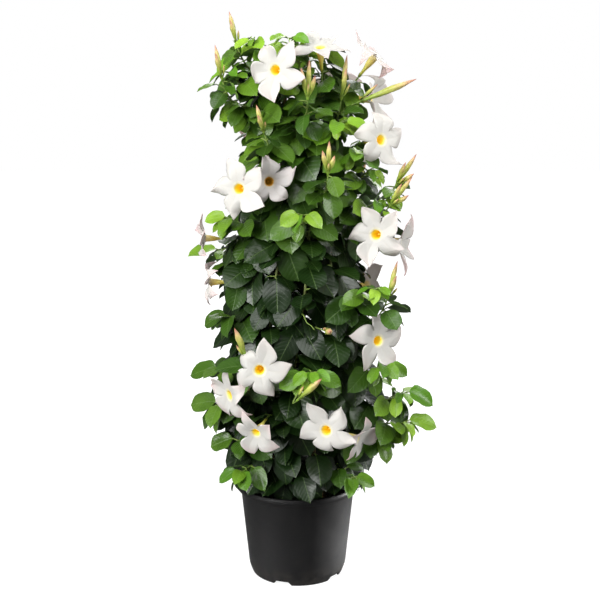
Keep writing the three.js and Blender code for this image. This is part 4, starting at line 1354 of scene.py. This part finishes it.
for number, (at, right, above, turn, size, lean) in enumerate(BLOOMS, 1):
    bloom = new_object(f"flower_{number:02d}", bloom_mesh(lean, 39 + number, FADED.get(number, 0)))
    face_skin = old_petal_face if number == BROWN_THROAT else petal_face
    for finish in (face_skin, petal_back, sepal_skin):
        bloom.data.materials.append(finish)
    wall = bloom.modifiers.new("petal_wall", "SOLIDIFY")
    wall.thickness = PETAL_THICKNESS * MM
    wall.offset = -1
    wall.material_offset = 1
    wall.material_offset_rim = 0
    settle(bloom)
    shell = bmesh.new()
    shell.from_mesh(bloom.data)
    mark = shell.verts.layers.float_vector["petal"]
    shell.transform(Matrix.Scale(1 / MM, 4))
    add_spindle(shell, mark, UP * ANTHERS_AT, UP, ANTHERS, SPINDLE_SIDES, out=(0.3, 0.48))
    for i in range(SEPALS):
        out = polar(36 + 72 * i, 1, 0)
        tip_way = (UP + out * 0.16).normalized()
        add_scale(shell, mark, out * 1.6 - UP * TUBE_LENGTH, out, tip_way, *SEPAL_SIZE, slot=2)
    place = Matrix.Translation(Vector(at) * MM)
    place @= UP.rotation_difference(facing(right, above)).to_matrix().to_4x4()
    place @= Matrix.Rotation(math.radians(turn), 4, "Z") @ Matrix.Scale(size * MM, 4)
    shell.transform(place)
    shell.to_mesh(bloom.data)
    shell.free()
    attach(bloom, "root")
    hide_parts(f"bloom_{number:02d}")

# -------------------- Buds
# Sprays of furled buds: a stalk that thickens under a few small bracts, and spindles of lobes
# wrapped round each other, green at the foot, then yellow, with a pink and brown point.
BRACTS = 5
BRACT_SIZE = (7, 3.2)
BUD_SIDES = 15
BUD_TWIST = 2.2
BUD_RIDGES = 0.1
BUD_SHAPE = [
    (0, 0.8), (0.05, 1.2), (0.12, 1.7), (0.22, 2.3), (0.34, 2.9), (0.46, 3.3), (0.58, 3.4),
    (0.68, 3.1), (0.78, 2.4), (0.87, 1.5), (0.94, 0.8), (0.98, 0.35), (1, 0),
]
BUD_COLOURS = [
    (0.0, (0.12, 0.24, 0.025)), (0.22, (0.24, 0.37, 0.045)), (0.45, (0.42, 0.48, 0.10)),
    (0.62, (0.56, 0.48, 0.18)), (0.75, (0.56, 0.33, 0.21)), (0.9, (0.44, 0.16, 0.12)),
    (1.0, (0.16, 0.07, 0.03)),
]
bud_skin, tree, shader = new_finish("furled_bud", Roughness=0.42, Specular_IOR_Level=0.45)
out, _, _ = marked(tree, "petal", "Vector").split()
tints = (0.8, 0.72, 0.66), (1.12, 1.1, 1.05)
streaky = use_group(mottle, object_point(tree), 150.0, 3.0, 2.5, *tints)
feed(shader, {
    "Base Color": mix_colours(1.0, colour_ramp(out, BUD_COLOURS), streaky["Color"], "MULTIPLY"),
    "Normal": bumpy(streaky["Height"], 0.3, 0.0002),
})

for index, (at, right, above, count, length) in enumerate(SPRAYS + LONE_BUDS):
    way = facing(right, above)
    turn = UP.rotation_difference(way)
    foot = Vector(at) + way * GAP
    shell = bmesh.new()
    mark = shell.verts.layers.float_vector.new("petal")
    wide = 3.0 if count > 1 else 2.0
    head = [(0, 1.4), (3, 1.9), (7, wide), (9, wide * 0.8), (10, 0)]
    add_spindle(shell, mark, foot, way, head, SPINDLE_SIDES, out=(0, 0.3))
    for i in range(BRACTS):
        out = turn @ polar(30 + 72 * i, 1, 0)
        root = foot + way * 6 + out * wide * 0.7
        add_scale(shell, mark, root, out, (way + out * 0.6).normalized(), *BRACT_SIZE, slot=1)
    # The full-sized buds, and a small one between them.
    for i in range(count + 1):
        if i < count:
            aside = polar(90 + 360 * i / count, 1 if count > 1 else 0, 0)
            reach = length * (1 - 0.2 * i + 0.06 * draw(40 + index * 5 + i))
        else:
            aside = polar(150 + 360 / count, 1.3, 0)
            reach = 0.4 * length
        start = turn @ (aside * 2.2 + UP * 7) + foot
        bud_way = turn @ (aside * 0.28 + UP).normalized()
        stout = (1.35 if count == 1 else 1.0) * (1 if i < count else 0.5)
        profile = [(share * reach, radius * stout) for share, radius in BUD_SHAPE]
        add_spindle(shell, mark, start, bud_way, profile, BUD_SIDES, BUD_TWIST, BUD_RIDGES)
    bmesh.ops.recalc_face_normals(shell, faces=shell.faces)
    shell.transform(Matrix.Scale(MM, 4))
    spray = new_object(f"bud_spray_{index + 1:02d}", mesh_of(shell, "bud_spray"))
    spray.data.materials.append(bud_skin)
    spray.data.materials.append(sepal_skin)
    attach(spray, "root")
    if index < len(SPRAYS):
        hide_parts(f"buds_{index + 1:02d}")

# -------------------- Studio
# A pale floor, white surroundings and soft lights: a broad one overhead and in front, one at each
# side, one behind for the back, and two low, narrow ones that draw the sheen on the pot's wall.
CAMERA_AWAY = 1.8
CAMERA_HEIGHT = 0.82
CAMERA_DOWN = 12.07
CAMERA_LENS = 72.6
CAMERA_SHIFT = 0.0043
FLOOR_HALF = 6
WORLD_LIGHT = 0.16
# Each light: its place, what it points at, its width and height, its power and its spread.
LIGHTS = [
    ("overhead", (-0.3, -1.0, 2.15), (0, 0, 1.0), 1.4, 1.4, 12, 100),
    ("right_side", (1.6, -0.5, 1.2), (0, 0, 0.7), 0.7, 1.3, 6.0, 80),
    ("left_fill", (-1.5, -1.5, 0.95), (0, 0, 0.4), 1.0, 1.5, 11.2, 70),
    ("back_fill", (0.4, 2.0, 1.5), (0, 0, 0.5), 1.8, 1.8, 44, 180),
    ("pot_right", (1.0, 0.3, 0.06), (0, 0, 0.06), 0.3, 0.12, 1.0, 12),
    ("pot_left", (-1.1, -0.75, 0.06), (0, 0, 0.02), 0.5, 0.12, 0.5, 12),
]


def seen_by_camera(tree):
    """1 where the camera sees it, and 0 where only light meets it."""
    return add_node("ShaderNodeLightPath", tree=tree, output="Is Camera Ray")


floor_mesh = bpy.data.meshes.new("studio_floor")
corners = [(x * FLOOR_HALF, y * FLOOR_HALF, 0) for x, y in ((-1, -1), (1, -1), (1, 1), (-1, 1))]
floor_mesh.from_pydata(corners, [], [(0, 1, 2, 3)])
floor = new_object("studio_floor", floor_mesh)
paper, tree, shader = new_finish(
    "white_paper", Roughness=0.9, Base_Color=(0.25, 0.25, 0.25), Emission_Color=(1, 1, 1)
)
# Painted light: the floor glows for the camera alone, a little less near the middle, so it looks
# white.
painted_floor_light = between(object_point(tree).calc("LENGTH"), 0.25, 1.1, 0.84, 1.0)
feed(shader, {"Emission Strength": seen_by_camera(tree) * painted_floor_light})
floor.data.materials.append(paper)

world = bpy.data.worlds.new("white_studio")
bpy.context.scene.world = world
world.use_nodes = True
lit = seen_by_camera(world.node_tree) * (1 - WORLD_LIGHT) + WORLD_LIGHT
feed(world.node_tree.nodes["Background"], {"Color": (1, 1, 1), "Strength": lit})

for name, at, aim, width, height, power, spread in LIGHTS:
    lamp = bpy.data.lights.new(name, "AREA")
    lamp.shape = "RECTANGLE"
    lamp.size = width
    lamp.size_y = height
    lamp.energy = power
    lamp.spread = math.radians(spread)
    light = new_object(name, lamp)
    light.location = at
    light.rotation_euler = (Vector(aim) - Vector(at)).to_track_quat("-Z", "Y").to_euler()

lens = bpy.data.cameras.new("camera")
lens.lens = CAMERA_LENS
lens.shift_x = CAMERA_SHIFT
lens.clip_end = 30
camera = new_object("camera", lens)
camera.location = (0, -CAMERA_AWAY, CAMERA_HEIGHT)
camera.rotation_euler = (math.radians(90 - CAMERA_DOWN), 0, 0)
bpy.context.scene.camera = camera
bpy.context.scene.view_settings.view_transform = "Standard"
